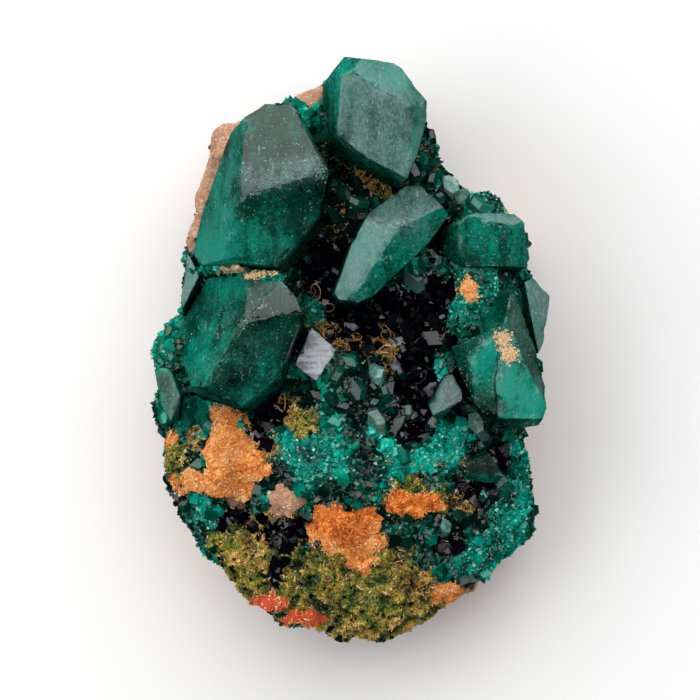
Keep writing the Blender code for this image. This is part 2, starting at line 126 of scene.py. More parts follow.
world = bpy.data.worlds.new("pale_room")
world.use_nodes = True
background = world.node_tree.nodes["Background"]
background.inputs["Color"].default_value = (1.0, 1.0, 1.0, 1.0)
background.inputs["Strength"].default_value = ROOM_BRIGHTNESS
world.cycles_visibility.glossy = False
bpy.context.scene.world = world
bpy.context.scene.view_settings.view_transform = "Standard"

# %% [markdown]
# ## Writing materials as formulas
# A pattern is easier to read as `1 - edge * grain` than as a chain of nodes. Field wraps one socket
# and gives it Python's operators, each of which adds a Math node. Finish holds one material and
# adds every other kind of node through its node method.

# %% Numbers that vary
class Field:
    """A number that varies over a surface."""

    def __init__(self, finish, socket):
        self.finish = finish
        self.socket = socket

    def __add__(self, other):
        return self.finish.math("ADD", self, other)

    def __radd__(self, other):
        return self.finish.math("ADD", other, self)

    def __sub__(self, other):
        return self.finish.math("SUBTRACT", self, other)

    def __rsub__(self, other):
        return self.finish.math("SUBTRACT", other, self)

    def __mul__(self, other):
        return self.finish.math("MULTIPLY", self, other)

    def __rmul__(self, other):
        return self.finish.math("MULTIPLY", other, self)


# %% Materials
class Finish:
    """One material, with short ways to add what its surface shader reads."""

    def __init__(self, name):
        self.material = bpy.data.materials.new(name)
        self.material.use_nodes = True
        self.tree = self.material.node_tree
        self.tree.nodes.clear()
        self.output = self.node("ShaderNodeOutputMaterial")

    def node(self, kind, settings=None, inputs=None):
        """Adds a node, sets it up, then fills its sockets with values or links."""
        made = self.tree.nodes.new(kind)
        for name, value in (settings or {}).items():
            if name == "stops":
                self.set_stops(made.color_ramp, value)
            else:
                setattr(made, name, value)
        for name, value in (inputs or {}).items():
            socket = made.inputs[name]
            if isinstance(value, Field):
                value = value.socket
            if isinstance(value, bpy.types.NodeSocket):
                self.tree.links.new(value, socket)
            else:
                socket.default_value = value
        return made

    def set_stops(self, ramp, stops):
        """Gives a colour ramp its stops, as rows of a place and red, green and blue."""
        while len(ramp.elements) < len(stops):
            ramp.elements.new(0.5)
        for element, (place, *colour) in zip(ramp.elements, stops):
            element.position = place
            element.color = rgb(*colour)

    def math(self, operation, first, second=0.0):
        made = self.node("ShaderNodeMath", {"operation": operation}, {0: first, 1: second})
        return Field(self, made.outputs[0])

    def attribute(self, name):
        made = self.node("ShaderNodeAttribute", {"attribute_name": name})
        return Field(self, made.outputs["Fac"])

    def place(self, stretch=(1.0, 1.0, 1.0), turn=(0.0, 0.0, 0.0)):
        """Object coordinates, stretched and turned for a pattern that has a direction."""
        source = self.node("ShaderNodeTexCoord")
        made = self.node(
            "ShaderNodeMapping", None,
            {"Vector": source.outputs["Object"], "Scale": stretch, "Rotation": turn},
        )
        return made.outputs["Vector"]

    def noise(self, per_mm, detail=4.0, rough=0.55, at=None):
        """Cloudy noise from 0 to 1 with so many lumps in a millimetre."""
        vector = at or self.place()
        made = self.node(
            "ShaderNodeTexNoise", None,
            {"Vector": vector, "Scale": per_mm / MM, "Detail": detail, "Roughness": rough},
        )
        return Field(self, made.outputs["Fac"])

    def cell_walls(self, per_mm):
        """How near the walls between cells are, with so many cells in a millimetre."""
        made = self.node(
            "ShaderNodeTexVoronoi", {"feature": "DISTANCE_TO_EDGE"},
            {"Vector": self.place(), "Scale": per_mm / MM},
        )
        return Field(self, made.outputs["Distance"])

    def step(self, value, low, high):
        """Rises smoothly from 0 at low to 1 at high. It falls where low is the larger."""
        made = self.node(
            "ShaderNodeMapRange", {"interpolation_type": "SMOOTHSTEP"},
            {"Value": value, "From Min": low, "From Max": high},
        )
        return Field(self, made.outputs["Result"])

    def mix(self, share, first, second):
        """Goes from the first colour to the second as the share goes from 0 to 1."""
        made = self.node(
            "ShaderNodeMix", {"data_type": "RGBA"}, {"Factor": share, "A": first, "B": second}
        )
        return made.outputs["Result"]

    def ramp(self, value, stops):
        """Turns a number into a colour between stops."""
        made = self.node("ShaderNodeValToRGB", {"stops": stops}, {"Fac": value})
        return made.outputs["Color"]

    def bump(self, height, depth_mm, strength):
        """A normal from a height that spans so many millimetres."""
        made = self.node(
            "ShaderNodeBump", None,
            {"Height": height, "Distance": depth_mm * MM, "Strength": strength},
        )
        return made.outputs["Normal"]

    def facets(self, normal, per_mm, amount):
        """Tips the normal another way in each small cell, as on a crust of tiny crystals."""
        where = {"Vector": self.place(), "Scale": per_mm / MM}
        cell = self.node("ShaderNodeTexVoronoi", None, where)

        def vector_math(operation, inputs):
            return self.node("ShaderNodeVectorMath", {"operation": operation}, inputs).outputs[0]

        centred = vector_math("SUBTRACT", {0: cell.outputs["Color"], 1: (0.5, 0.5, 0.5)})
        scaled = vector_math("SCALE", {0: centred, "Scale": amount})
        tipped = vector_math("ADD", {0: normal, 1: scaled})
        return vector_math("NORMALIZE", {0: tipped})

    def surface(self, inputs):
        """The Principled shader."""
        return self.node("ShaderNodeBsdfPrincipled", None, inputs).outputs["BSDF"]

    def finish(self, shader):
        self.tree.links.new(shader, self.output.inputs["Surface"])
        print("finish", self.material.name, "with", len(self.tree.nodes), "nodes")
        return self.material


# %% Colours
def rgb(red, green, blue):
    """A colour as seen on a screen, 0 to 255, turned into the linear values that shaders use."""
    shares = [part / 255 for part in (red, green, blue)]
    linear = [((s + 0.055) / 1.055) ** 2.4 if s > 0.04 else s / 12.92 for s in shares]
    return (*linear, 1.0)


def blend(share, first, second):
    """A fixed colour on the way from the first to the second."""
    return tuple(a + (b - a) * share for a, b in zip(first, second))


# %% [markdown]
# ## The table
# The specimen lies on a plain pale surface. One large plane is enough, a hair below the rock so
# that the two never share a face. It is stage only, and not part of the object.

# %% Table
TABLE_SIDE = 3.0
TABLE_DROP = 0.05

bpy.ops.object.select_all(action="DESELECT")
bpy.ops.mesh.primitive_plane_add(size=TABLE_SIDE, location=(0.0, 0.0, -TABLE_DROP * MM))
table = bpy.context.active_object
table.name = "table"
paper = Finish("white_table")
table.data.materials.append(
    paper.finish(paper.surface({"Base Color": (0.9, 0.9, 0.9, 1.0), "Roughness": 0.9}))
)
table.visible_glossy = False

# %% [markdown]
# ## The large crystals
# Each one is a few flat faces, but a real face is never a perfect mirror: it has low growth hills,
# and its edges are rubbed and chipped. So each crystal is a copy of its solid with narrow bevels,
# cut into small triangles. Its faces are then waved by hundredths of a millimetre and its edges
# chipped. How near each point is to an edge is kept with the mesh, for the material.

# %% Helpers for editing
def select_only(piece):
    """Makes one object the only one that the next operator acts on."""
    bpy.ops.object.select_all(action="DESELECT")
    piece.select_set(True)
    bpy.context.view_layer.objects.active = piece


def copy_of(node, name):
    """A new object with a merged copy of a solid's mesh."""
    piece = bpy.data.objects.new(name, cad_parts[node].data.copy())
    bpy.context.scene.collection.objects.link(piece)
    piece.data.materials.clear()
    select_only(piece)
    bpy.ops.object.mode_set(mode="EDIT")
    bpy.ops.mesh.select_all(action="SELECT")
    bpy.ops.mesh.remove_doubles(threshold=1e-7)
    bpy.ops.object.mode_set(mode="OBJECT")
    return piece


def apply_modifier(piece, kind, **settings):
    """Adds a modifier, sets it and applies it."""
    modifier = piece.modifiers.new(kind.lower(), kind)
    for name, value in settings.items():
        setattr(modifier, name, value)
    select_only(piece)
    bpy.ops.object.modifier_apply(modifier=modifier.name)


def read_vectors(rows, name):
    """One vector for each row of a mesh's data, as an array."""
    flat = np.empty(len(rows) * 3, np.float32)
    rows.foreach_get(name, flat)
    return flat.reshape(-1, 3).astype(float)


def points_of(mesh):
    """Every vertex in millimetres."""
    return read_vectors(mesh.vertices, "co") / MM


def set_points(mesh, points):
    """Moves every vertex to a place given in millimetres."""
    mesh.vertices.foreach_set("co", (points * MM).astype(np.float32).ravel())
    mesh.update()


def set_attribute(mesh, name, values):
    """Keeps one number for each vertex, which a material can read by name."""
    made = mesh.attributes.new(name, "FLOAT", "POINT")
    made.data.foreach_set("value", np.asarray(values, np.float32))


def lumps(points, per_mm, shift=0.0, octaves=1):
    """Noise about 0 at each point."""
    total = np.zeros(len(points))
    for octave in range(octaves):
        scaled = points * per_mm * 2**octave + shift + octave * 17.0
        total += np.array([noise.noise(Vector(p)) for p in scaled.tolist()]) / 2**octave
    return total


def smooth_step(low, high, values):
    """Rises smoothly from 0 at low to 1 at high, or falls where low is the larger."""
    share = np.clip((values - low) / (high - low), 0.0, 1.0)
    return share * share * (3.0 - 2.0 * share)


# %% Edges of a crystal
BEVEL = 0.07
LONGEST_EDGE = 0.6
SHARP_ANGLE = math.radians(9.0)


def sharp_edges(piece):
    """The two ends of each edge where faces meet at an angle, in millimetres."""
    shape = bmesh.new()
    shape.from_mesh(piece.data)
    ends = [
        (edge.verts[0].co / MM, edge.verts[1].co / MM)
        for edge in shape.edges
        if len(edge.link_faces) == 2 and edge.calc_face_angle() > SHARP_ANGLE
    ]
    shape.free()
    return np.array(ends)


def distance_to_edges(points, ends):
    """How far each point is from the nearest sharp edge."""
    nearest = np.full(len(points), 1e9)
    for start, end in ends:
        along = end - start
        share = np.clip((points - start) @ along / max(along @ along, 1e-9), 0.0, 1.0)
        apart = np.linalg.norm(points - start - share[:, None] * along, axis=1)
        nearest = np.minimum(nearest, apart)
    return nearest


def cut_small(piece, longest):
    """Halves every edge that is too long until none is left."""
    select_only(piece)
    bpy.ops.object.mode_set(mode="EDIT")
    bpy.ops.mesh.select_mode(type="EDGE")
    for _ in range(9):
        bpy.ops.mesh.select_all(action="SELECT")
        bpy.ops.mesh.quads_convert_to_tris()
        bpy.ops.mesh.select_all(action="DESELECT")
        shape = bmesh.from_edit_mesh(piece.data)
        long_edges = [edge for edge in shape.edges if edge.calc_length() > longest * MM]
        if not long_edges:
            break
        for edge in long_edges:
            edge.select = True
        bmesh.update_edit_mesh(piece.data)
        bpy.ops.mesh.subdivide(number_cuts=1)
    bpy.ops.object.mode_set(mode="OBJECT")


# %% Shape the crystals
HILL_HEIGHT = 0.012
CHIP_DEPTH = 0.16
NICK_DEPTH = 0.08


def shape_crystal(node):
    """A crystal with bevelled, chipped edges and gently waved faces."""
    piece = copy_of(node, node + "_detail")
    select_only(piece)
    bpy.ops.object.mode_set(mode="EDIT")
    bpy.ops.mesh.dissolve_limited(angle_limit=math.radians(0.5))
    bpy.ops.object.mode_set(mode="OBJECT")
    ends = sharp_edges(piece)
    apply_modifier(
        piece, "BEVEL", width=BEVEL * MM, segments=2, limit_method="ANGLE", angle_limit=SHARP_ANGLE
    )
    cut_small(piece, LONGEST_EDGE)
    mesh = piece.data
    points = points_of(mesh)
    normals = read_vectors(mesh.vertex_normals, "vector")
    away = distance_to_edges(points, ends)
    hills = lumps(points * (1.0, 0.6, 0.35), 0.7, octaves=2)
    chips = smooth_step(0.05, 0.5, lumps(points, 1.3, 5.0)) * np.exp(-((away / 0.28) ** 2))
    nicks = smooth_step(0.12, 0.5, lumps(points, 3.1, 9.0)) * np.exp(-((away / 0.16) ** 2))
    height = HILL_HEIGHT * hills - CHIP_DEPTH * chips - NICK_DEPTH * nicks
    set_points(mesh, points + normals * height[:, None])
    set_attribute(mesh, "edge", np.exp(-away / 0.7))
    select_only(piece)
    bpy.ops.object.shade_smooth_by_angle(angle=math.radians(22.0))
    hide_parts(node)
    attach(piece, "root")
    return piece


crystals = {node: shape_crystal(node) for node in crystal_names}
print("crystal triangles:", sum(len(piece.data.polygons) for piece in crystals.values()))

# %% [markdown]
# ## Green crystal
# Dioptase is clear, but so strongly coloured that light is soaked up within a few millimetres. So
# the body is see-through with a green absorption inside. Fine veils inside a real crystal scatter
# some light back, which the base colour stands for. Faces carry fine lines, and some are painted
# lighter as if lit through the body, some darker as painted shade, and some with a grey painted
# reflection of the soft light above. Edges that are rubbed look frosted, and dust and short
# scratches show as pale specks. Three numbers kept with the mesh say where: the painted light and
# shade, the painted reflection and the rime. They are painted below.

# %% Green crystal material
# How the lines on a face are stretched, and how they are turned
FINE_LINES = ((1.0, 0.08, 0.08), (0.0, 0.0, 0.0))
BROAD_LINES = ((0.25, 1.2, 0.6), (0.0, 0.0, -0.35))


def green_crystal(name, tones, reflection_colour, clear=0.5, ribs=0.0, run=FINE_LINES):
    """Tones are the deep, middle and bright colour inside, and the next colour is that of a painted
    reflection. Ribs say how strong the lines are.
    """
    finish = Finish(name)
    slanted = (0.0, 0.0, 0.5)
    cloud = finish.noise(0.24, detail=3.0) - 0.5
    drawn_out = finish.place((1.0, 0.45, 0.45), slanted)
    veil = finish.noise(0.9, detail=6.0, rough=0.65, at=drawn_out) - 0.5
    grain = finish.noise(4.0, detail=4.0, rough=0.75) - 0.5
    lines = finish.noise(2.6, detail=3.0, at=finish.place(*run))
    # painted light and shade raise or lower the tone of whole faces
    glow = finish.attribute("glow")
    grey = finish.attribute("grey")
    tone = 0.5 + cloud * 1.2 + veil * 1.1 + grain * 1.1 + glow * 0.42 + (lines - 0.5) * ribs * 3.0
    colour = finish.ramp(tone, [(place, *stop) for place, stop in zip((0.05, 0.5, 0.95), tones)])
    streak = finish.noise(6.0, detail=4.0, rough=0.75, at=finish.place((1.0, 0.6, 0.6), slanted))
    # a grey painted reflection of the soft light, broken by streaks, covers some faces
    reflection_cover = grey * (0.8 + veil * 1.8 + (streak - 0.5))
    faint_reflection = blend(0.45, rgb(*reflection_colour), rgb(10, 50, 46))
    streaked_reflection = finish.mix(finish.step(streak, 0.42, 0.62), faint_reflection, rgb(*reflection_colour))
    colour = finish.mix(finish.step(reflection_cover, 0.0, 1.0), colour, streaked_reflection)
    edge = finish.attribute("edge")
    rime = finish.attribute("rime")
    speck = finish.noise(6.5, detail=3.0, rough=0.75)
    clump = finish.noise(0.8, detail=2.0) - 0.5
    rubbed = rime * finish.step(veil + grain, -0.25, 0.25) * 0.5
    colour = finish.mix(rubbed, colour, rgb(128, 186, 180))
    frost = finish.step(speck + edge * 0.16 + rime * 0.10 + clump * 0.5, 0.77, 0.85)
    dust = finish.step(finish.noise(6.5, detail=2.0) + clump * 0.15 + rime * 0.04, 0.67, 0.72)
    pale = finish.math("MAXIMUM", frost * 0.8, dust * 0.9)
    scratch = finish.noise(4.0, detail=2.0, at=finish.place((0.9, 0.25, 0.2)))
    scratch = finish.step(scratch + rime * 0.05 + clump * 0.15, 0.69, 0.74)
    pale = finish.math("MAXIMUM", pale, scratch * 0.5)
    colour = finish.mix(pale, colour, rgb(196, 228, 218))
    pits = finish.noise(3.5, detail=5.0)
    worn = finish.step(finish.noise(0.5, detail=4.0), 0.45, 0.75)
    rough = 0.22 + 0.20 * worn + pale * 0.3 + reflection_cover * 0.25
    normal = finish.bump(lines * (0.4 + 3.0 * ribs) + pits * 0.6, 0.035, 0.9)
    shader = finish.surface({
        "Base Color": colour, "Roughness": rough, "IOR": 1.66, "Specular IOR Level": 0.3,
        "Normal": normal, "Transmission Weight": clear,
    })
    inside = finish.node(
        "ShaderNodeVolumeAbsorption", None, {"Color": (0.02, 0.93, 0.87, 1.0), "Density": 900.0}
    )
    finish.tree.links.new(inside.outputs["Volume"], finish.output.inputs["Volume"])
    return finish.finish(shader)


# after the three tones inside comes the colour of each crystal's painted reflection
emerald = green_crystal(
    "emerald_crystal", [(0, 30, 22), (0, 90, 68), (0, 186, 160)], (136, 184, 176)
)
dusky = green_crystal(
    "dusky_crystal", [(30, 30, 38), (120, 122, 134), (206, 208, 216)], (184, 188, 196), clear=0.1,
    ribs=0.8, run=BROAD_LINES,
)

# %% [markdown]
# ## Tones of the faces
# Each face of a crystal has painted light and shade of its own: a face that looks into the lit body
# of the crystal is painted lighter, and some get a grey painted reflection of the soft light. Each
# face is listed by a point on it, seen from above, and a ray dropped there finds it. A later row on
# the same face takes the place of an earlier painted reflection and adds to the painted light.
# Softer spots of painted light and shade are then added within a face, and each tone is softened
# where it meets the next.

# %% Tones by place
# x, y, painted light and shade, and share of grey painted reflection
FACES = [
    (-4.6, 16.0, -0.3, 0.1), (-9.0, 10.9, 0.6, 0.25), (-6.8, 9.1, -0.1, 0.0),
    (-4.3, 4.4, -0.5, 0.1), (-9.0, 0.8, 0.4, 0.0), (-6.1, 0.8, -0.1, 0.0), (-12.2, -2.4, 1.4, 0.3),
    (2.2, 15.3, 0.1, 0.8), (4.4, 17.5, 0.6, 0.5), (5.0, 17.0, 0.8, 0.6), (1.5, 7.3, 0.8, 0.65),
    (3.7, 9.9, -0.1, 0.7), (3.3, 7.3, 0.4, 0.0), (9.1, 8.4, 0.3, 0.0), (10.5, 9.9, 1.2, 1.0),
    (13.4, 3.7, 1.7, 1.0), (12.5, 1.5, 0.1, 0.5), (9.4, 0.1, 0.7, 0.0), (12.7, -2.8, 0.5, 0.0),
    (-2.5, -0.1, 0.4, 0.5), (7.4, -3.0, -0.1, 0.7), (-11.5, 5.2, 1.4, 1.0), (11.9, 8.2, 0.5, 0.1),
    (9.4, -7.6, -0.6, 0.1), (10.2, -8.4, -0.8, 0.1), (8.8, -8.6, -0.7, 0.15),
]
# x, y, radius and strength of painted light, with painted shade where it is below 0
PAINTED_LIGHTING_SPOTS = [
    (-6.6, 8.4, 2.4, 0.2), (-3.9, 8.4, 2.0, 0.0), (-9.0, 7.3, 1.6, 0.3), (-5.0, 14.0, 2.6, -0.3),
    (-9.6, 6.4, 1.4, 0.5), (-8.6, 4.2, 1.6, 0.3), (-10.4, -1.7, 1.6, 0.6), (-5.6, 2.4, 2.0, -0.3),
    (-7.2, -2.2, 1.4, -0.3), (9.4, 8.4, 1.6, 0.4), (12.9, -3.2, 1.6, 0.4), (10.2, 1.6, 1.6, 0.4),
    (9.8, -4.2, 1.6, -1.7), (-1.0, 19.8, 1.2, 0.6), (3.9, 19.8, 0.8, 1.4), (8.2, -2.4, 1.6, -1.0),
    (3.2, 5.6, 1.2, -0.6), (-3.7, 0.2, 1.0, -1.2), (-1.7, -0.4, 1.0, 0.5), (13.8, -4.6, 1.2, 0.5),
    (-6.6, -3.6, 1.2, 0.6), (-2.2, 16.4, 1.4, 0.3), (10.6, 3.0, 1.0, 0.4),
]
# Where ridges are rubbed white
RIMES = [
    (-7.2, 12.6, 1.0, 0.9), (-5.8, 12.7, 1.0, 0.9), (-4.4, 13.0, 1.0, 0.9), (-3.0, 13.4, 0.9, 0.9),
    (-2.0, 14.0, 0.8, 0.8), (-2.4, 16.0, 0.8, 0.5), (4.6, 9.2, 1.0, 0.9), (3.3, 8.9, 0.8, 0.6),
    (-8.2, 2.2, 1.0, 0.5), (-7.4, 0.2, 1.0, 0.5), (-9.4, -1.0, 1.0, 0.5), (11.0, 1.0, 1.0, 0.6),
    (2.6, 18.6, 1.6, 0.4), (-4.6, 5.6, 1.4, 0.7), (0.9, 15.0, 1.2, 0.5), (-11.8, 5.8, 1.2, 0.8),
]


# %% Paint the faces
SAME_FACE = math.cos(math.radians(6.0))
ABOVE = 60.0
DOWN = Vector((0.0, 0.0, -1.0))


def spots(points, rows):
    """Adds up soft round spots, seen from above, at each point."""
    total = np.zeros(len(points))
    for x, y, radius, strength in rows:
        total += strength * np.exp(-((points[:, 0] - x) ** 2 + (points[:, 1] - y) ** 2) / radius**2)
    return total


def search_tree(meshes):
    """One search tree of several meshes, in millimetres."""
    points, faces = [], []
    for mesh in meshes:
        start = len(points)
        points += [vertex.co / MM for vertex in mesh.vertices]
        faces += [[start + index for index in face.vertices] for face in mesh.polygons]
    return bvhtree.BVHTree.FromPolygons(points, faces)


def face_under(x, y):
    """The crystal, and the way its face looks, that is highest under a point."""
    found = []
    for node, tree in crystal_trees.items():
        place, normal, _, _ = tree.ray_cast(Vector((x, y, ABOVE)), DOWN)
        if place:
            found.append((place.z, node, np.array(normal)))
    return max(found, key=lambda row: row[0])[1:] if found else (None, None)


def soften(mesh, values, rounds=3):
    """Blends each point's value with its neighbours', so that tones run into each other."""
    ends = np.empty(len(mesh.edges) * 2, np.int32)
    mesh.edges.foreach_get("vertices", ends)
    first, second = ends.reshape(-1, 2).T
    count = len(values)
    joined = np.bincount(first, minlength=count) + np.bincount(second, minlength=count)
    for _ in range(rounds):
        total = np.bincount(first, values[second], count)
        total += np.bincount(second, values[first], count)
        values = 0.5 * values + 0.5 * total / np.maximum(joined, 1)
    return values


crystal_trees = {node: search_tree([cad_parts[node].data]) for node in crystal_names}
painted = [(*face_under(x, y), glow, grey) for x, y, glow, grey in FACES]
for node, piece in crystals.items():
    points = points_of(piece.data)
    near = [crystal_trees[node].find_nearest(Vector(point)) for point in points.tolist()]
    looks = np.array([row[1] for row in near])
    # painted light and shade for every point, then the painted reflection on listed faces
    glow = spots(points, PAINTED_LIGHTING_SPOTS)
    grey = np.zeros(len(points))
    for at_node, look, face_lighting, face_reflection in painted:
        if at_node == node:
            same = looks @ look > SAME_FACE
            glow[same] += face_lighting
            grey[same] = face_reflection
    set_attribute(piece.data, "glow", soften(piece.data, glow))
    set_attribute(piece.data, "grey", soften(piece.data, grey))
    set_attribute(piece.data, "rime", np.clip(spots(points, RIMES), 0.0, 1.0))
    dark = node == "crystal_plate"
    piece.data.materials.append(dusky if dark else emerald)
print("faces painted:", sum(row[0] is not None for row in painted), "of", len(painted))

# %% [markdown]
# ## The rock's surface
# The rock is a copy of its solid, remeshed into even small faces so that its surface can be worked
# everywhere. What grows or crumbles on it differs from place to place: rust, glowing ember and red
# rust, pinkish host rock, olive tangles, gold threads, bright green crust and shaded crust. The dark
# hollows are painted nearly black as shade. Each kind is a list of patches, seen from above, with
# borders made ragged by noise.

# %% Rock mesh
VOXEL = 0.25

rock = copy_of("matrix", "matrix_detail")
apply_modifier(rock, "REMESH", mode="VOXEL", voxel_size=VOXEL * MM)
print("rock triangles:", 2 * len(rock.data.polygons))

# %% Patches on the rock
# Each patch is x, y and its two half widths, in millimetres
PATCHES = {
    "rust": [
        (-8.9, -4.9, 1.4, 1.6), (-8.7, -6.9, 1.7, 1.5), (-7.4, -8.0, 1.7, 1.4),
        (-9.0, -9.1, 2.2, 1.3), (-11.4, -9.4, 1.4, 0.9), (-7.9, -9.9, 1.1, 0.9),
        (-0.1, -12.9, 2.8, 2.0), (0.9, -14.6, 1.3, 1.2), (-1.6, -11.7, 1.1, 0.8),
        (4.7, -11.2, 2.2, 1.0), (3.6, -10.4, 0.7, 0.5), (7.1, -17.6, 1.2, 0.8),
        (8.7, 4.5, 0.75, 0.75), (-5.8, -18.2, 1.6, 0.6), (-3.5, -19.5, 1.6, 0.6),
        (-12.9, -6.4, 0.5, 0.6),
    ],
    "ember": [(-0.3, -12.2, 2.6, 1.6), (4.5, -11.2, 2.2, 1.0)],
    "red": [(-5.8, -18.4, 2.4, 1.0), (-3.5, -19.7, 2.4, 1.0)],
    "pink": [
        (-9.4, 15.4, 1.4, 2.2), (-10.4, 12.4, 1.5, 2.4), (-11.2, 9.6, 1.2, 2.0),
        (-2.5, 18.8, 1.5, 1.1), (-2.0, 15.6, 0.9, 0.8), (-4.5, -10.7, 1.5, 1.0),
        (-8.2, -11.1, 0.7, 0.5),
    ],
    # deep hollows, whose near-black colour below is painted shade
    "dark": [
        (-0.2, 13.7, 1.5, 1.1), (3.4, 12.4, 1.1, 0.8), (-1.6, 6.0, 2.4, 2.2), (1.6, 2.4, 3.4, 2.6),
        (5.0, 2.4, 2.4, 2.2), (6.6, 4.2, 1.2, 1.4), (4.6, -1.6, 1.8, 2.2), (5.0, -4.6, 1.6, 1.8),
        (-5.5, -4.3, 1.4, 1.6), (-6.5, -6.0, 0.9, 1.5), (-7.6, -12.1, 1.8, 0.7),
        (-4.6, -13.3, 1.9, 1.2), (-3.3, -12.4, 1.4, 0.6), (-5.3, -16.2, 0.6, 1.5),
        (6.9, 8.3, 1.4, 1.6), (4.6, -16.9, 0.5, 0.3), (9.2, -9.6, 1.8, 1.2), (10.8, -7.6, 0.8, 1.2),
        (7.2, -14.0, 1.2, 0.8),
    ],
    "shade": [
        (1.6, -2.6, 2.8, 2.6), (1.5, -7.9, 1.5, 1.2), (4.4, -6.2, 1.2, 1.0), (-0.6, 10.4, 2.4, 2.4),
        (8.2, -12.6, 2.2, 1.8), (-4.9, -8.9, 0.8, 0.8),
    ],
    "bright": [
        (-2.5, -7.4, 3.2, 1.9), (3.1, -8.2, 3.2, 1.5), (7.2, -6.6, 1.8, 1.4), (9.4, 4.0, 3.4, 2.6),
        (11.8, -11.0, 1.6, 2.0), (11.3, -13.6, 1.8, 2.2), (-10.6, -12.4, 1.0, 1.8),
        (-10.3, -5.0, 1.0, 1.4), (9.4, -14.9, 2.2, 1.6), (-5.9, -10.5, 0.7, 0.6),
        (-13.6, 0.2, 0.8, 1.4), (10.0, 10.6, 1.6, 1.2), (-11.4, -3.0, 1.3, 2.2),
        (12.4, -7.8, 1.0, 1.8),
    ],
    "olive": [
        (-7.2, -14.5, 2.0, 2.4), (-1.5, -17.2, 4.2, 2.8), (2.6, -16.8, 2.8, 2.8),
        (4.2, -19.4, 3.4, 2.2), (-6.6, -17.0, 2.4, 1.6), (1.0, -19.6, 3.4, 1.8),
        (-9.2, -13.9, 1.0, 1.0), (4.2, -9.7, 1.3, 0.8), (2.8, 11.4, 0.9, 0.9),
        (-12.7, -7.9, 0.8, 1.4), (-5.5, -11.9, 1.8, 0.5), (-3.4, -5.0, 1.2, 0.9),
        (7.2, -10.6, 1.6, 1.0),
    ],
    "gold": [
        (1.3, 12.6, 1.0, 0.7), (-0.9, 14.9, 1.0, 0.5), (7.6, -11.0, 1.4, 0.8),
        (-3.2, 2.0, 0.9, 0.6), (-2.0, 1.2, 1.0, 0.6), (-0.7, 0.7, 1.0, 0.6), (0.8, 0.5, 1.1, 0.5),
        (2.6, 0.1, 0.8, 0.7), (2.8, -1.0, 0.6, 0.8), (-5.6, -7.0, 0.7, 0.9), (-4.7, -4.0, 0.9, 0.9),
        (-11.2, -6.2, 0.5, 1.0), (-5.4, -11.9, 1.6, 0.5), (3.2, -14.6, 1.2, 1.0),
        (-7.4, -14.6, 1.2, 1.6), (4.2, -16.4, 1.6, 1.0), (5.8, -17.4, 1.2, 0.8),
        (9.0, -8.2, 1.3, 0.4),
    ],
}
print("patches:", sum(len(rows) for rows in PATCHES.values()), "of", len(PATCHES), "kinds")


# %% Weights of the patches
BORDER_BEND = 0.9


def patch_weight(points, patches):
    """From 0 outside a kind's patches to 1 inside, with ragged borders."""
    warp_x = lumps(points, 0.9, 3.0, octaves=2) * BORDER_BEND
    warp_y = lumps(points, 0.9, 31.0, octaves=2) * BORDER_BEND
    weight = np.zeros(len(points))
    for at_x, at_y, half_x, half_y in patches:
        share = min(1.0, 0.8 * min(half_x, half_y))  # small patches are bent less
        x = points[:, 0] + warp_x * share
        y = points[:, 1] + warp_y * share
        apart = np.hypot((x - at_x) / half_x, (y - at_y) / half_y)
        weight = np.maximum(weight, smooth_step(1.2, 0.8, apart))
    return weight


def rock_weights(points):
    """Every kind's weight at every point. Below the rim the rock is bare or thinly crusted."""
    upper = smooth_step(3.5, 7.0, points[:, 2] + lumps(points, 0.3, 50.0) * 3.0)
    outside = smooth_step(0.85, 1.0, np.hypot(points[:, 0] / 11.5, (points[:, 1] - 0.5) / 16.5))
    lower = (1.0 - upper) * outside
    bare = lower * smooth_step(-0.12, 0.25, lumps(points, 0.14, 80.0, octaves=2))
    weights = {kind: patch_weight(points, rows) * (1.0 - lower) for kind, rows in PATCHES.items()}
    weights["dark"] *= 1.0 - 0.8 * outside * (1.0 - upper)
    weights["pink"] = np.maximum(weights["pink"], bare)
    low_rust = lower * smooth_step(0.1, 0.35, lumps(points, 0.22, 110.0, octaves=2))
    weights["rust"] = np.maximum(weights["rust"], low_rust)
    weights["dark"] *= 1.0 - weights["rust"]
    return weights


# %% [markdown]
# Now the surface is moved. Broad lumps and small grains roughen it, the olive parts get a tangle of
# ridges, rust stands a little proud, and hollows sink. Where the rock meets a large crystal it is
# drawn onto the crystal's face, which closes the clearance between the two solids.

# %% Ways to work the surface
def ridges(points, per_mm, shift):
    """Noise that peaks at 1 along winding lines."""
    return 1.0 - 2.0 * np.abs(lumps(points, per_mm, shift))


def veins(points, per_mm):
    """From 0 to 1 on the walls between irregular cells, such as rusty rock often shows."""
    warp = np.stack([lumps(points, 1.1, shift) for shift in (40.0, 44.0, 48.0)], axis=1)
    bent = points + 0.5 * warp
    near = np.array([noise.voronoi(Vector(p))[0][:2] for p in (bent * per_mm).tolist()])
    return smooth_step(0.22, 0.04, near[:, 1] - near[:, 0])


REACH = 0.5  # rock this near a crystal is drawn onto it in full
FADE = 0.6
LOOK_FURTHER = 0.6
SINK = 0.05


def draw_onto_crystals(points, tree):
    """Moves points that are near a crystal onto its face, and says how much each moved."""
    contact = np.zeros(len(points))
    moved = points.copy()
    for index, point in enumerate(points.tolist()):
        place, normal, _, apart = tree.find_nearest(Vector(point), REACH + FADE + LOOK_FURTHER)
        if place is None:
            continue
        side = (Vector(point) - place).dot(normal)
        signed = apart if side > 0 else -apart
        share = float(smooth_step(REACH + FADE, REACH, np.array(signed)))
        target = place - normal * SINK
        moved[index] = np.array(point) * (1 - share) + np.array(target) * share
        contact[index] = share
    return moved, contact


# %% Work the rock's surface
SPREAD = 0.15  # how far the worked surface may pass the solids' box

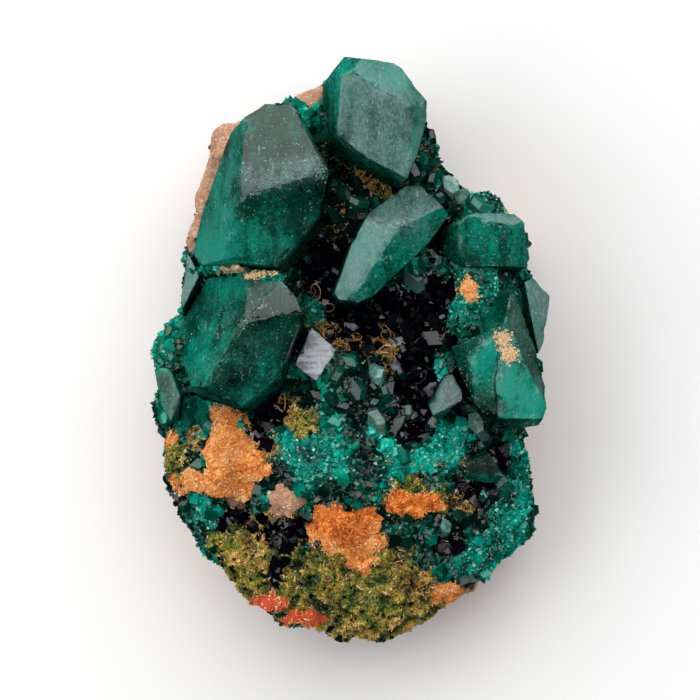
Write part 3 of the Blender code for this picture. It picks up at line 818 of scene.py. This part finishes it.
mesh = rock.data
points = points_of(mesh)
normals = read_vectors(mesh.vertex_normals, "vector")
weights = rock_weights(points)
uneven = lumps(points, 0.55, 2.0, octaves=3)
vein = veins(points, 0.5)
knots = ridges(points, 0.75, 8.0) + ridges(points, 1.6, 15.0) * 0.5 - 0.9
height = 0.34 * uneven + weights["olive"] * (0.2 * knots + 0.4 * vein - 0.1)
height += 0.22 * weights["rust"] + 0.12 * weights["bright"] - 0.8 * weights["dark"]
height += 0.10 * weights["rust"] * lumps(points, 2.2, 22.0, octaves=2)
height *= smooth_step(0.1, 0.8, points[:, 2])
# the lowest parts of the surface, where painted shade darkens the rock and the crust
hollow = smooth_step(0.02, -0.3, uneven + 0.7 * weights["olive"] * knots - 0.1)
points = points + normals * height[:, None]
all_crystals = search_tree([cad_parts[node].data for node in crystal_names])
points, contact = draw_onto_crystals(points, all_crystals)
points[:, 2] = np.maximum(points[:, 2], 0.0)
points = np.clip(points, cad_low - SPREAD, cad_high + SPREAD)
set_points(mesh, points)
weights = rock_weights(points)
for kind, weight in weights.items():
    set_attribute(mesh, kind, weight)
set_attribute(mesh, "contact", contact)
set_attribute(mesh, "hollow", hollow)
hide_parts("matrix")
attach(rock, "root")
rock.visible_glossy = False  # steep crystal faces would mirror the rust as brown smears
select_only(rock)
bpy.ops.object.shade_smooth_by_angle(angle=math.radians(50.0))
print("rock points:", len(points), "drawn onto crystals:", int((contact > 0.5).sum()))

# %% [markdown]
# ## Rock material
# The kinds of surface that were kept with the mesh are mixed here. Each border is broken up once
# more by fine noise, because the mesh is coarser than the grains. Rust is matt and grainy, the
# host rock is pinkish brown, olive parts are threaded with gold, and hollows and recesses are
# painted nearly black as shade.

# %% Rock material
def rock_finish():
    finish = Finish("host_rock")
    fine = finish.noise(2.4, detail=6.0, rough=0.65)
    broad = finish.noise(0.35, detail=4.0)
    grain = finish.noise(7.0, detail=3.0)

    def ragged(name):
        return finish.step(finish.attribute(name) + (fine - 0.5) * 1.1, 0.35, 0.6)

    threads = finish.step(finish.cell_walls(1.15) + (fine - 0.5) * 0.12, 0.10, 0.02)
    lighter = finish.step(broad + (fine - 0.5) * 0.6, 0.35, 0.65)
    ground = finish.mix(lighter, rgb(4, 38, 30), rgb(10, 92, 74))
    ground = finish.mix(threads * finish.step(broad, 0.5, 0.6) * 0.6, ground, rgb(150, 110, 50))
    lighter = finish.step(grain * 0.5 + fine * 0.5, 0.38, 0.62)
    olive = finish.mix(lighter, rgb(54, 84, 18), rgb(130, 142, 44))
    straw = finish.math("MAXIMUM", threads, finish.step(grain, 0.62, 0.7))
    olive = finish.mix(straw, olive, rgb(190, 150, 70))
    bright = finish.mix(fine, rgb(0, 84, 72), rgb(10, 180, 152))
    fiery = grain * 0.55 + fine * 0.45 + 0.06 - 0.10 * finish.attribute("ember")
    rust = finish.ramp(fiery, [
        (0.26, 140, 50, 4), (0.38, 222, 104, 10), (0.5, 246, 152, 60), (0.66, 255, 196, 126),
    ])
    red = finish.mix(grain, rgb(170, 34, 12), rgb(246, 104, 60))
    rust = finish.mix(finish.attribute("red"), rust, red)
    pink = finish.ramp(grain * 0.4 + fine * 0.6, [
        (0.3, 120, 78, 56), (0.5, 190, 142, 112), (0.7, 224, 188, 160),
    ])
    gold = finish.mix(finish.step(grain, 0.4, 0.6), rgb(120, 86, 26), rgb(206, 158, 74))
    colour = finish.mix(ragged("bright"), ground, bright)
    colour = finish.mix(ragged("shade") * 0.7, colour, rgb(4, 26, 22))
    colour = finish.mix(ragged("olive"), colour, olive)
    colour = finish.mix(ragged("gold") * 0.8, colour, gold)
    # painted shade: the dark hollows are painted nearly black
    colour = finish.mix(ragged("dark") * 0.94, colour, rgb(8, 10, 14))
    colour = finish.mix(ragged("pink"), colour, pink)
    colour = finish.mix(ragged("rust"), colour, rust)
    matt = finish.math("MAXIMUM", ragged("rust"), ragged("pink"))
    # painted shade in the recesses, weaker on matt rust and host rock
    sunk = finish.attribute("hollow") * (1 - 0.7 * matt)
    colour = finish.mix(sunk * 0.75, colour, rgb(6, 8, 8))
    grown = finish.step(finish.attribute("contact"), 0.4, 0.7)
    colour = finish.mix(grown, colour, rgb(20, 110, 88))
    rough = 0.28 + 0.55 * finish.math("MAXIMUM", matt, ragged("olive") * 0.6)
    uneven = finish.bump(grain * 0.5 + fine * 0.5, 0.16, 0.9)
    normal = finish.facets(uneven, 3.6, 0.55 * (1 - matt))
    shader = finish.surface({"Base Color": colour, "Roughness": rough, "Normal": normal})
    return finish.finish(shader)


rock.data.materials.append(rock_finish())

# %% [markdown]
# ## The crust of small crystals
# A sugary crust covers the rock. Seen close, it is thousands of tiny angular crystals of which only
# the tips show, with bent threads of rust and gold between them. Four shapes are modelled as by
# hand: a cube stood on its corner and drawn out, which is this mineral's plain form, two six-sided
# prisms whose ends are cut by slanting planes, and one thread. They are then copied to places
# picked at random on the rock, and all copies of one kind are joined.

# %% Small crystals to copy
def open_new(name):
    """Names the primitive that was just added, and opens it for editing with all selected."""
    piece = bpy.context.active_object
    piece.name = name
    bpy.ops.object.mode_set(mode="EDIT")
    bpy.ops.mesh.select_all(action="SELECT")
    return piece


def take_shape(piece):
    """The corners and triangles of a piece that is open for editing, which is then removed."""
    bpy.ops.mesh.select_all(action="SELECT")
    bpy.ops.mesh.quads_convert_to_tris()
    bpy.ops.object.mode_set(mode="OBJECT")
    mesh = piece.data
    points = np.array([vertex.co for vertex in mesh.vertices])
    faces = np.array([face.vertices for face in mesh.polygons])
    print(piece.name, "has", len(faces), "triangles")
    bpy.data.objects.remove(piece)
    return points, faces


def model_rhomb():
    """A cube on its corner, drawn out upwards and cut off where its lower corners lie."""
    bpy.ops.object.select_all(action="DESELECT")
    lean = -math.atan(math.sqrt(0.5))
    bpy.ops.mesh.primitive_cube_add(size=1.6, rotation=(math.radians(45.0), lean, 0.0))
    bpy.ops.object.transform_apply(location=False, rotation=True, scale=False)
    piece = open_new("rhomb")
    bpy.ops.transform.resize(value=(0.95, 0.8, 1.25))
    bpy.ops.mesh.bisect(
        plane_co=(0.0, 0.0, -0.577), plane_no=(0.0, 0.0, -1.0), clear_outer=True, threshold=0.01
    )
    return take_shape(piece)


def model_prism(name, tip_angle, flatten):
    """A prism of radius 1 whose tip of three planes is at height 1, open where it is sunk in."""
    bpy.ops.object.select_all(action="DESELECT")
    bpy.ops.mesh.primitive_cylinder_add(vertices=6, radius=1.0, depth=3.0)
    piece = open_new(name)
    bpy.ops.transform.resize(value=(1.0, flatten, 1.0))
    for side in range(3):
        around = math.radians(120.0 * side + 30.0)
        lean = math.radians(tip_angle + 5.0 * side)
        out = math.sin(lean)
        normal = (out * math.cos(around), out * math.sin(around), math.cos(lean))
        tip = (0.0, 0.0, 1.0 - 0.08 * side)
        bpy.ops.mesh.select_all(action="SELECT")
        bpy.ops.mesh.bisect(plane_co=tip, plane_no=normal, use_fill=True, clear_outer=True)
    bpy.ops.mesh.select_all(action="SELECT")
    bpy.ops.mesh.bisect(plane_co=(0.0, 0.0, -1.2), plane_no=(0.0, 0.0, -1.0), clear_outer=True)
    return take_shape(piece)


def model_thread():
    """A thin three-sided thread, 1 long, with a bend in it."""
    bpy.ops.object.select_all(action="DESELECT")
    bpy.ops.mesh.primitive_cylinder_add(vertices=3, radius=1.0, depth=1.0, end_fill_type="NOTHING")
    piece = open_new("thread")
    bpy.ops.mesh.bisect(plane_co=(0.0, 0.0, 0.1), plane_no=(0.0, 0.0, 1.0))
    bpy.ops.transform.translate(value=(2.0, 1.0, 0.0))
    return take_shape(piece)


rhomb = model_rhomb()
thread = model_thread()
slim_prism = model_prism("slim_prism", 48.0, 0.85)
flat_prism = model_prism("flat_prism", 22.0, 0.75)

# %% Places on the rock
LOWEST_GROWTH = 0.5
COVERED = 0.93  # rock drawn onto a crystal more than this stays free of crust
LARGE_FACE = 3.0  # unless the face is so much larger than most, and so reaches out into the open


def rock_faces():
    """Corners, normal, area and patch weights of every face of the rock."""
    mesh = rock.data
    mesh.calc_loop_triangles()
    corners = np.empty(len(mesh.loop_triangles) * 3, np.int32)
    mesh.loop_triangles.foreach_get("vertices", corners)
    corners = corners.reshape(-1, 3)
    places = points_of(mesh)[corners]
    cross = np.cross(places[:, 1] - places[:, 0], places[:, 2] - places[:, 0])
    area = np.linalg.norm(cross, axis=1) / 2.0
    normal = cross / np.maximum(2.0 * area[:, None], 1e-9)
    found = {"corners": places, "normal": normal, "area": area}
    for kind, weight in {**weights, "contact": contact, "hollow": hollow, "vein": vein}.items():
        found[kind] = weight[corners].mean(axis=1)
    return found


def pick_places(density, count):
    """Random places on the rock, the denser the higher the density there."""
    area = faces["area"]
    open_rock = (faces["contact"] < COVERED) | (area > LARGE_FACE * np.median(area))
    chance = area * density * open_rock * (faces["corners"][:, 0, 2] > LOWEST_GROWTH)
    picked = rng.choice(len(chance), count, p=chance / chance.sum())
    first, second = rng.random((2, count, 1))
    over = first + second > 1.0
    first, second = np.where(over, 1.0 - first, first), np.where(over, 1.0 - second, second)
    corner = faces["corners"][picked]
    sides = corner[:, 1:] - corner[:, :1]
    return picked, corner[:, 0] + first * sides[:, 0] + second * sides[:, 1]


# %% Joined copies
STRAY = 0.3  # how far a copy may pass the solids' box
LIFT = 0.05


def frames_along(direction, turn):
    """Turning matrices that stand a shape up along each direction."""
    direction = direction / np.linalg.norm(direction, axis=1, keepdims=True)
    helper = np.where(np.abs(direction[:, 2:]) < 0.9, [[0.0, 0.0, 1.0]], [[1.0, 0.0, 0.0]])
    across = np.cross(helper, direction)
    across /= np.linalg.norm(across, axis=1, keepdims=True)
    other = np.cross(direction, across)
    cosine, sine = np.cos(turn)[:, None], np.sin(turn)[:, None]
    turned = across * cosine + other * sine
    return np.stack([turned, other * cosine - across * sine, direction], axis=2)


def joined_copies(name, shapes, place, direction, size, turn, tint, finish):
    """One mesh of many copies, each with its own size, way up and tint."""
    turned = frames_along(direction, turn)
    which = rng.integers(len(shapes), size=len(place))
    all_points, all_faces, all_tints, start = [], [], [], 0
    for number, (shape, triangles) in enumerate(shapes):
        chosen = np.flatnonzero(which == number)
        sized = shape[None] * size[chosen][:, None]
        moved = np.einsum("nij,nkj->nki", turned[chosen], sized) + place[chosen][:, None]
        offsets = start + np.arange(len(chosen))[:, None, None] * len(shape)
        all_points.append(moved.reshape(-1, 3))
        all_faces.append((triangles[None] + offsets).reshape(-1, 3))
        all_tints.append(np.repeat(tint[chosen], len(shape)))
        start += len(chosen) * len(shape)
    low = cad_low - (STRAY, STRAY, -LIFT)
    points = np.clip(np.concatenate(all_points), low, cad_high + STRAY)
    triangles = np.concatenate(all_faces)
    mesh = bpy.data.meshes.new(name)
    mesh.vertices.add(len(points))
    mesh.loops.add(triangles.size)
    mesh.polygons.add(len(triangles))
    mesh.loops.foreach_set("vertex_index", triangles.ravel().astype(np.int32))
    mesh.polygons.foreach_set("loop_start", np.arange(0, triangles.size, 3, dtype=np.int32))
    set_points(mesh, points)
    mesh.validate()
    mesh.shade_flat()
    set_attribute(mesh, "tint", np.concatenate(all_tints))
    mesh.materials.append(finish)
    piece = bpy.data.objects.new(name, mesh)
    bpy.context.scene.collection.objects.link(piece)
    piece.visible_glossy = False  # as for the rock
    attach(piece, "root")
    print(name, len(place), "copies,", len(triangles), "triangles")


# %% Small crystal finishes
def small_finish(name, stops, rough=0.16, clear=0.0):
    """A glossy finish whose colour follows each copy's tint."""
    finish = Finish(name)
    fine = finish.noise(3.0, detail=3.0)
    colour = finish.ramp(finish.attribute("tint") + (fine - 0.5) * 0.35, stops)
    normal = finish.bump(finish.noise(6.0, detail=2.0), 0.02, 0.6)
    return finish.finish(finish.surface({
        "Base Color": colour, "Roughness": rough, "IOR": 1.66, "Specular IOR Level": 0.4,
        "Normal": normal, "Transmission Weight": clear,
    }))


# the palest stop is the colour of tips painted pale as glints
crust_finish = small_finish("green_crust", [
    (0.0, 4, 5, 8), (0.18, 0, 34, 26), (0.42, 0, 84, 64), (0.68, 0, 156, 132), (0.9, 16, 212, 188),
    (1.0, 220, 250, 242),
], clear=0.15)
# nearly black as painted shade in the hollows; the palest stops are painted glints
vug_finish = small_finish("dark_crust", [
    (0.0, 6, 4, 10), (0.45, 18, 14, 26), (0.75, 34, 40, 52), (0.9, 92, 92, 108),
    (1.0, 196, 198, 208),
], rough=0.14)
olive_finish = small_finish("olive_crust", [
    (0.0, 20, 26, 6), (0.25, 50, 84, 20), (0.5, 112, 128, 30), (0.7, 172, 154, 44),
    (1.0, 238, 196, 110),
], rough=0.5)
gold_finish = small_finish("gold_threads", [
    (0.0, 84, 50, 14), (0.35, 160, 104, 30), (0.65, 212, 160, 80), (1.0, 242, 214, 160),
], rough=0.6)
rust_finish = small_finish("rust_grains", [
    (0.0, 140, 46, 4), (0.25, 212, 98, 6), (0.5, 236, 146, 54), (0.75, 250, 184, 110),
    (1.0, 254, 224, 180),
], rough=0.85)
cream_finish = small_finish("cream_grains", [
    (0.0, 172, 128, 84), (0.5, 222, 184, 138), (1.0, 240, 224, 190),
], rough=0.8)

# %% Faces of the rock
faces = rock_faces()
bare = smooth_step(0.2, 0.5, np.maximum(faces["rust"], faces["pink"]))
middles = faces["corners"].mean(axis=1)
cloud = lumps(middles, 0.42, 60.0, octaves=2)
clumps = lumps(middles, 0.8, 90.0, octaves=2)
print("rock faces:", len(middles))


# %% Tones of the copies
def scattered(picked, middle, spread, low=0.0, high=1.0):
    """Tones about a middle, each a little lighter or darker by chance."""
    return np.clip(middle + rng.normal(0.0, spread, len(picked)), low, high)


def green_tone(picked):
    """Bright on the bright crust, darkened by painted shade in shaded patches, in recesses and in
    the dark hollows.
    """
    bright = faces["bright"][picked]
    tone = 0.36 + 0.34 * bright + 0.65 * cloud[picked] * (1.0 - 0.3 * bright)
    for kind, darker in {"shade": 0.25, "hollow": 0.22, "olive": 0.3}.items():
        tone -= darker * faces[kind][picked]
    return scattered(picked, tone, 0.13, 0.16, 0.84) * (1.0 - 0.9 * faces["dark"][picked])


def painted_glint_tone(picked):
    """The same, with a few tips painted pale as glints."""
    return np.where(rng.random(len(picked)) > 0.95, 0.98, green_tone(picked))


def shade_and_glint_tone(picked):
    """Nearly black as painted shade, with a few painted pale as glints."""
    tone = scattered(picked, 0.2, 0.16, high=0.7)
    return np.where(rng.random(len(picked)) > 0.96, 0.95, tone)


def olive_tone(picked):
    """Lighter along the veins of the tangle, with painted shade in recesses."""
    tone = 0.36 + 0.4 * clumps[picked] + 0.4 * faces["vein"][picked]
    return scattered(picked, tone - 0.25 * faces["hollow"][picked], 0.1)


def gold_tone(picked):
    """Uneven, as wire catches the light."""
    return scattered(picked, 0.55 + 0.3 * clumps[picked], 0.25)


def rust_tone(picked):
    """Deeper where the rust glows, paler on pink rock."""
    tone = 0.62 + 0.3 * clumps[picked] - 0.3 * faces["ember"][picked]
    return scattered(picked, tone + 0.3 * faces["pink"][picked], 0.16)


# %% Two ways to scatter
THREAD_RISE = 0.04


def grow(name, shapes, density, count, sizes, tilt, tone, finish):
    """Stands copies on the rock. Sizes are the least and most radius, then height over radius."""
    picked, place = pick_places(density, count)
    direction = faces["normal"][picked] + rng.normal(0.0, tilt, (count, 3))
    least, most, low, high = sizes
    radius = least + (most - least) * rng.random(count) ** 2.5
    length = radius * (low + (high - low) * rng.random(count))
    size = np.stack([radius, radius * (0.7 + 0.6 * rng.random(count)), length], axis=1)
    turn = rng.random(count) * 2.0 * math.pi
    joined_copies(name, shapes, place, direction, size, turn, tone(picked), finish)


def lay(name, density, count, lengths, radii, rise, tone, finish):
    """Scatters threads that lie on the rock, each turned its own way."""
    picked, place = pick_places(density, count)
    normal = faces["normal"][picked]
    along = np.cross(normal, rng.normal(0.0, 1.0, (count, 3)))
    along /= np.linalg.norm(along, axis=1, keepdims=True)
    direction = along + normal * rng.normal(0.0, rise, (count, 1))
    length = lengths[0] + (lengths[1] - lengths[0]) * rng.random(count) ** 1.5
    radius = radii[0] + (radii[1] - radii[0]) * rng.random(count)
    size = np.stack([radius, radius, length], axis=1)
    turn = rng.random(count) * 2.0 * math.pi
    place = place + normal * THREAD_RISE
    joined_copies(name, [thread], place, direction, size, turn, tone(picked), finish)


# %% Grow the crust
all_forms = [rhomb, slim_prism, flat_prism]
green = (1.0 - bare) * (1.0 - 0.9 * faces["olive"]) * (1.0 - 0.8 * faces["gold"])
covered = green * (1.0 - faces["dark"])
grow(
    "crust_fine", [rhomb], covered * (0.4 + faces["bright"]), 17000, (0.06, 0.15, 0.7, 1.3), 0.4,
    painted_glint_tone, crust_finish,
)
steep = smooth_step(0.55, 0.25, faces["normal"][:, 2])
grow(
    "crust_middle", [rhomb], covered * (1.0 - 0.5 * steep) * (1.0 - 0.5 * faces["bright"]), 8500,
    (0.09, 0.22, 0.6, 1.2), 0.4, green_tone, crust_finish,
)
coarse = covered * (0.25 + 0.9 * (cloud > 0.12))
coarse *= (1.0 - 0.95 * faces["bright"]) * (1.0 - 0.95 * steep)
grow(
    "crust_coarse", all_forms, coarse, 1700, (0.2, 0.5, 0.7, 1.3), 0.45, green_tone, crust_finish,
)
# copies in the dark hollows are nearly black as painted shade, with a few painted glints
vugs = (1.0 - bare) * faces["dark"]
grow(
    "crust_dark", all_forms, vugs, 2600, (0.1, 0.6, 0.6, 1.4), 0.6, shade_and_glint_tone, vug_finish,
)
tangle = (faces["olive"] * (1.0 - faces["dark"]) + 0.2 * faces["gold"]) * (1.0 - bare)
grow("crust_olive", [rhomb], tangle, 11000, (0.05, 0.14, 0.8, 1.5), 0.6, olive_tone, olive_finish)
lay("threads_olive", tangle, 3000, (0.15, 0.5), (0.03, 0.055), 0.15, olive_tone, olive_finish)
# Gold threads also run along the veins of olive and of shaded crust, as in rusty boxwork
boxwork = np.maximum(faces["olive"], 0.7 * faces["shade"] * (middles[:, 1] > 0.0))
golden = 2.0 * faces["gold"] + boxwork * (0.06 + 2.0 * faces["vein"])
golden = (golden + 0.04 * faces["dark"]) * (1.0 - bare)
lined = faces["gold"] * smooth_step(0.2, 0.5, faces["dark"]) * (middles[:, 1] > -2.5)
lay("threads_hollow", lined, 1300, (0.3, 1.0), (0.035, 0.06), 0.3, gold_tone, gold_finish)
lay("threads_gold", golden, 6500, (0.2, 0.7), (0.03, 0.05), 0.2, gold_tone, gold_finish)
rusty = smooth_step(0.3, 0.55, faces["rust"]) * (1.0 - 0.8 * faces["red"]) + 0.02 * faces["pink"]
grow(
    "grains_rust", [rhomb], rusty, 6500, (0.04, 0.11, 0.7, 1.4), 0.7, rust_tone, rust_finish,
)
lay(
    "threads_rust", rusty, 4800, (0.15, 0.6), (0.03, 0.05), 0.3, rust_tone, rust_finish,
)

# %% [markdown]
# ## Grains on the large crystals
# Grains fill the narrow gap between the two large crystals at the left, and cream and rust coloured
# grains lie on two of those at the right. They are strewn about given points. A ray dropped
# from above finds the crystal or rock under each. One that would fall into a gap is held up in it,
# because in the real specimen the gap is packed with them.

# %% Heights under a point
rock_tree = search_tree([rock.data])


def top_height(x, y, trees, otherwise=0.0):
    """How high the highest piece under a point is there."""
    places = [tree.ray_cast(Vector((x, y, ABOVE)), DOWN)[0] for tree in trees]
    return max((place.z for place in places if place), default=otherwise)


# %% Strew the grains
NEAR = [(0.0, 0.0), (0.3, 0.0), (-0.3, 0.0), (0.0, 0.3), (0.0, -0.3)]
GAP_DEPTH = 0.8
SINK_IN_GAP = 0.3
FULL_TURN = 6.28


def strew(name, rows, tone, finish, least=0.04, most=0.10):
    """Strews grains. Each row is x, y, two half widths and how many."""
    everything = [*crystal_trees.values(), rock_tree]
    places, tones = [], []
    for x, y, half_x, half_y, count in rows:
        for _ in range(count):
            spot = np.array((x, y)) + rng.normal(0.0, 0.45, 2) * (half_x, half_y)
            around = [top_height(spot[0] + dx, spot[1] + dy, everything) for dx, dy in NEAR]
            in_gap = max(around) - around[0] >= GAP_DEPTH
            places.append((*spot, max(around) - SINK_IN_GAP if in_gap else around[0]))
            tones.append(tone + rng.normal(0.0, 0.15))
    count = len(places)
    direction = np.array((0.0, 0.0, 1.0)) + rng.normal(0.0, 0.7, (count, 3))
    radius = least + (most - least) * rng.random(count)
    size = np.stack([radius, radius, radius * 1.2], axis=1)
    turn = rng.random(count) * FULL_TURN
    tint = np.clip(tones, 0.0, 1.0)
    joined_copies(name, [rhomb], np.array(places), direction, size, turn, tint, finish)


strew(
    "crust_seam",
    [(-9.4, 5.9, 2.0, 0.15, 130), (-7.0, 5.6, 2.0, 0.15, 130), (-5.0, 5.3, 1.4, 0.15, 100)],
    0.55, crust_finish, 0.08, 0.18,
)
strew(
    "grains_seam", [(-8.4, 5.9, 1.0, 0.15, 190), (-6.3, 5.5, 1.2, 0.2, 270)],
    0.45, cream_finish, 0.07, 0.17,
)
strew(
    "grains_cream", [(11.0, 0.9, 0.5, 0.6, 260), (11.4, -0.2, 0.6, 0.55, 330)], 0.6, cream_finish
)
strew("grains_dome", [(8.6, 4.7, 0.7, 0.5, 280), (8.8, 3.9, 0.5, 0.6, 240)], 0.74, rust_finish)

# %% [markdown]
# ## Larger crystals in the crust
# Between the fine crust and the large crystals there are some dozens of crystals of one or two
# millimetres that the eye picks out one by one: grey-green blocks in the hollows, teal knobs on
# the shoulders. Each is placed where the photograph shows it. A ray dropped from above
# finds the rock under it, and it is sunk in there.

# %% Blocks placed by hand
# x, y, radius, height above the rock, bearing and angle of its lean, turn, tone
BLOCKS = [
    (2.0, -5.0, 1.05, 1.1, 250, 12, 20, 0.84), (4.5, -4.3, 0.6, 1.3, 200, 25, 0, 0.80),
    (-0.7, -1.7, 0.85, 1.0, 120, 30, 40, 0.50), (0.6, -2.9, 0.9, 0.9, 60, 20, 10, 0.44),
    (1.9, -1.7, 0.8, 1.2, 330, 30, 25, 0.93), (0.1, -0.8, 0.7, 0.9, 90, 25, 50, 0.56),
    (2.4, -3.2, 0.75, 1.0, 20, 35, 5, 0.46), (-1.2, -3.4, 0.7, 0.8, 200, 30, 15, 0.42),
    (3.5, -1.5, 0.65, 1.0, 0, 30, 35, 0.50), (-0.3, -3.9, 0.7, 0.7, 270, 25, 55, 0.40),
    (3.9, -7.5, 0.75, 0.9, 160, 20, 30, 0.62), (9.3, -5.3, 0.95, 1.0, 130, 25, 20, 0.84),
    (10.0, -6.4, 0.8, 0.9, 300, 30, 45, 0.40), (6.9, -12.7, 0.6, 1.2, 60, 15, 10, 0.88),
    (4.6, 5.4, 1.15, 1.3, 300, 15, 28, 0.80), (6.1, 6.6, 0.6, 1.2, 40, 20, 15, 0.88),
    (7.3, 11.9, 0.85, 0.9, 80, 25, 30, 0.97), (7.9, 11.1, 0.65, 0.9, 30, 20, 0, 0.85),
    (9.4, 10.4, 1.0, 0.9, 40, 30, 20, 0.70), (4.7, 13.1, 0.85, 1.1, 250, 25, 15, 0.45),
    (5.8, 12.5, 0.8, 1.0, 320, 30, 40, 0.50), (5.3, 13.7, 0.6, 0.9, 80, 25, 10, 0.60),
    (5.7, 15.6, 0.7, 1.1, 350, 35, 25, 0.30), (-0.3, 11.3, 0.85, 1.0, 120, 25, 35, 0.45),
    (0.6, 10.6, 0.85, 0.9, 60, 30, 15, 0.52), (-1.0, 9.9, 0.7, 0.9, 200, 30, 5, 0.42),
    (1.1, 9.3, 0.6, 0.8, 280, 25, 50, 0.55), (1.9, 10.6, 0.75, 0.9, 10, 30, 20, 0.48),
    (-2.0, 6.8, 0.7, 1.0, 200, 35, 10, 0.12), (-1.0, 5.6, 0.65, 0.9, 40, 35, 30, 0.16),
    (-3.0, 5.4, 0.6, 0.8, 150, 40, 50, 0.10), (-1.6, 4.4, 0.55, 0.9, 300, 35, 20, 0.18),
    (-0.6, 7.6, 0.6, 0.9, 80, 35, 0, 0.20), (-2.4, 7.8, 0.5, 0.9, 120, 30, 25, 0.26),
    (3.7, 3.7, 0.5, 0.9, 210, 40, 30, 0.22), (4.2, 2.8, 0.45, 0.8, 120, 40, 10, 0.25),
    (2.6, 3.1, 0.45, 0.8, 300, 40, 45, 0.20), (5.1, 2.4, 0.5, 0.9, 40, 35, 15, 0.24),
    (5.8, 3.3, 0.5, 0.9, 170, 30, 25, 0.28), (6.9, 2.4, 0.5, 0.8, 90, 35, 35, 0.30),
    (1.1, 2.8, 0.45, 0.8, 250, 30, 5, 0.24), (-13.4, 0.5, 0.75, 0.8, 170, 40, 20, 0.64),
    (-13.6, -0.6, 0.6, 0.7, 190, 40, 45, 0.60), (-13.1, 1.3, 0.6, 0.7, 150, 35, 10, 0.55),
    (-11.2, -2.9, 1.1, 1.3, 200, 30, 15, 0.64), (-10.6, -4.3, 1.0, 1.1, 270, 42, 40, 0.66),
    (-11.8, -4.6, 0.9, 1.0, 210, 35, 5, 0.60), (-10.2, -5.5, 0.8, 0.9, 300, 25, 25, 0.62),
    (9.1, -8.6, 0.9, 0.7, 110, 25, 15, 0.35), (10.5, -8.0, 0.8, 0.8, 20, 30, 40, 0.30),
    (9.4, -10.7, 0.6, 0.8, 280, 30, 25, 0.45), (11.3, -10.0, 0.6, 0.7, 340, 40, 5, 0.50),
    (8.0, -11.8, 0.55, 0.8, 200, 30, 30, 0.42), (8.7, -12.9, 0.5, 0.7, 120, 30, 50, 0.55),
]
block_finish = small_finish("block_crystal", [
    (0.0, 10, 8, 16), (0.28, 16, 30, 34), (0.45, 14, 62, 50), (0.66, 14, 132, 108),
    (0.84, 84, 112, 102), (0.95, 120, 190, 180), (1.0, 190, 210, 202),
], rough=0.2, clear=0.3)

# %% Place the blocks
USUAL_HEIGHT = 8.0  # taken where there is no rock under a point


def ground_under(rows):
    """A place on the rock under the x and y that each row starts with."""
    ground = [top_height(x, y, [rock_tree], USUAL_HEIGHT) for x, y in rows[:, :2]]
    return np.column_stack([rows[:, :2], ground])


def place_blocks():
    """Stands a flat prism on the rock for each row."""
    rows = np.array(BLOCKS)
    radius, height, tone = rows[:, 2], rows[:, 3], rows[:, 7]
    bearing, lean, turn = np.radians(rows[:, 4:7]).T
    out = np.sin(lean)
    direction = np.stack([out * np.cos(bearing), out * np.sin(bearing), np.cos(lean)], axis=1)
    size = np.stack([radius, radius * 0.85, height], axis=1)
    place = ground_under(rows)
    joined_copies("crust_blocks", [flat_prism], place, direction, size, turn, tone, block_finish)


place_blocks()

# %% [markdown]
# ## Wire loops
# Loops of thin golden wire curl out of the hollows. One thin ring is modelled, and three copies
# of it at slightly different angles make each loop, stood half in the rock.

# %% Place the wire loops
# x, y and radius
LOOPS = [
    (-5.0, -3.2, 0.7), (-4.5, -4.2, 0.8), (-3.9, -3.6, 0.5), (-5.0, -5.0, 0.5), (-4.2, -5.0, 0.6),
    (1.0, 13.0, 0.8), (2.2, 12.2, 0.7), (0.2, 13.6, 0.8), (1.4, 11.4, 0.6), (-0.6, 14.8, 0.6),
    (0.6, 14.9, 0.5), (-3.3, 4.9, 0.5), (-2.6, 3.9, 0.6), (-1.9, 3.2, 0.5), (-3.5, 2.2, 0.6),
    (-2.4, 1.8, 0.6), (-1.2, 1.4, 0.6), (0.2, 1.2, 0.5), (1.4, 1.0, 0.6), (2.6, 1.0, 0.5),
    (2.9, 0.0, 0.6), (3.9, 1.6, 0.5), (8.6, -7.9, 0.5), (9.8, -8.1, 0.5), (5.0, 14.6, 0.5),
    (6.0, 13.4, 0.5),
]


def model_ring():
    """A thin ring of radius 1."""
    bpy.ops.object.select_all(action="DESELECT")
    bpy.ops.mesh.primitive_torus_add(
        major_radius=1.0, minor_radius=0.07, major_segments=16, minor_segments=3
    )
    return take_shape(open_new("ring"))


def place_loops():
    """Three rings for each loop."""
    rows = np.repeat(np.array(LOOPS), 3, axis=0)
    count = len(rows)
    ground = ground_under(rows)
    place = ground + rng.normal(0.0, 0.22, (count, 3))
    place[:, 2] = ground[:, 2] + 0.05
    direction = np.array((0.0, 0.0, 0.6)) + rng.normal(0.0, 0.6, (count, 3))
    radius = rows[:, 2] * (0.6 + 0.5 * rng.random(count))
    size = np.stack([radius, radius * (0.5 + 0.5 * rng.random(count)), radius], axis=1)
    tone = np.clip(rng.normal(0.6, 0.2, count), 0.0, 1.0)
    turn = rng.random(count) * 2.0 * math.pi
    ring = model_ring()
    joined_copies("wire_loops", [ring], place, direction, size, turn, tone, gold_finish)


place_loops()
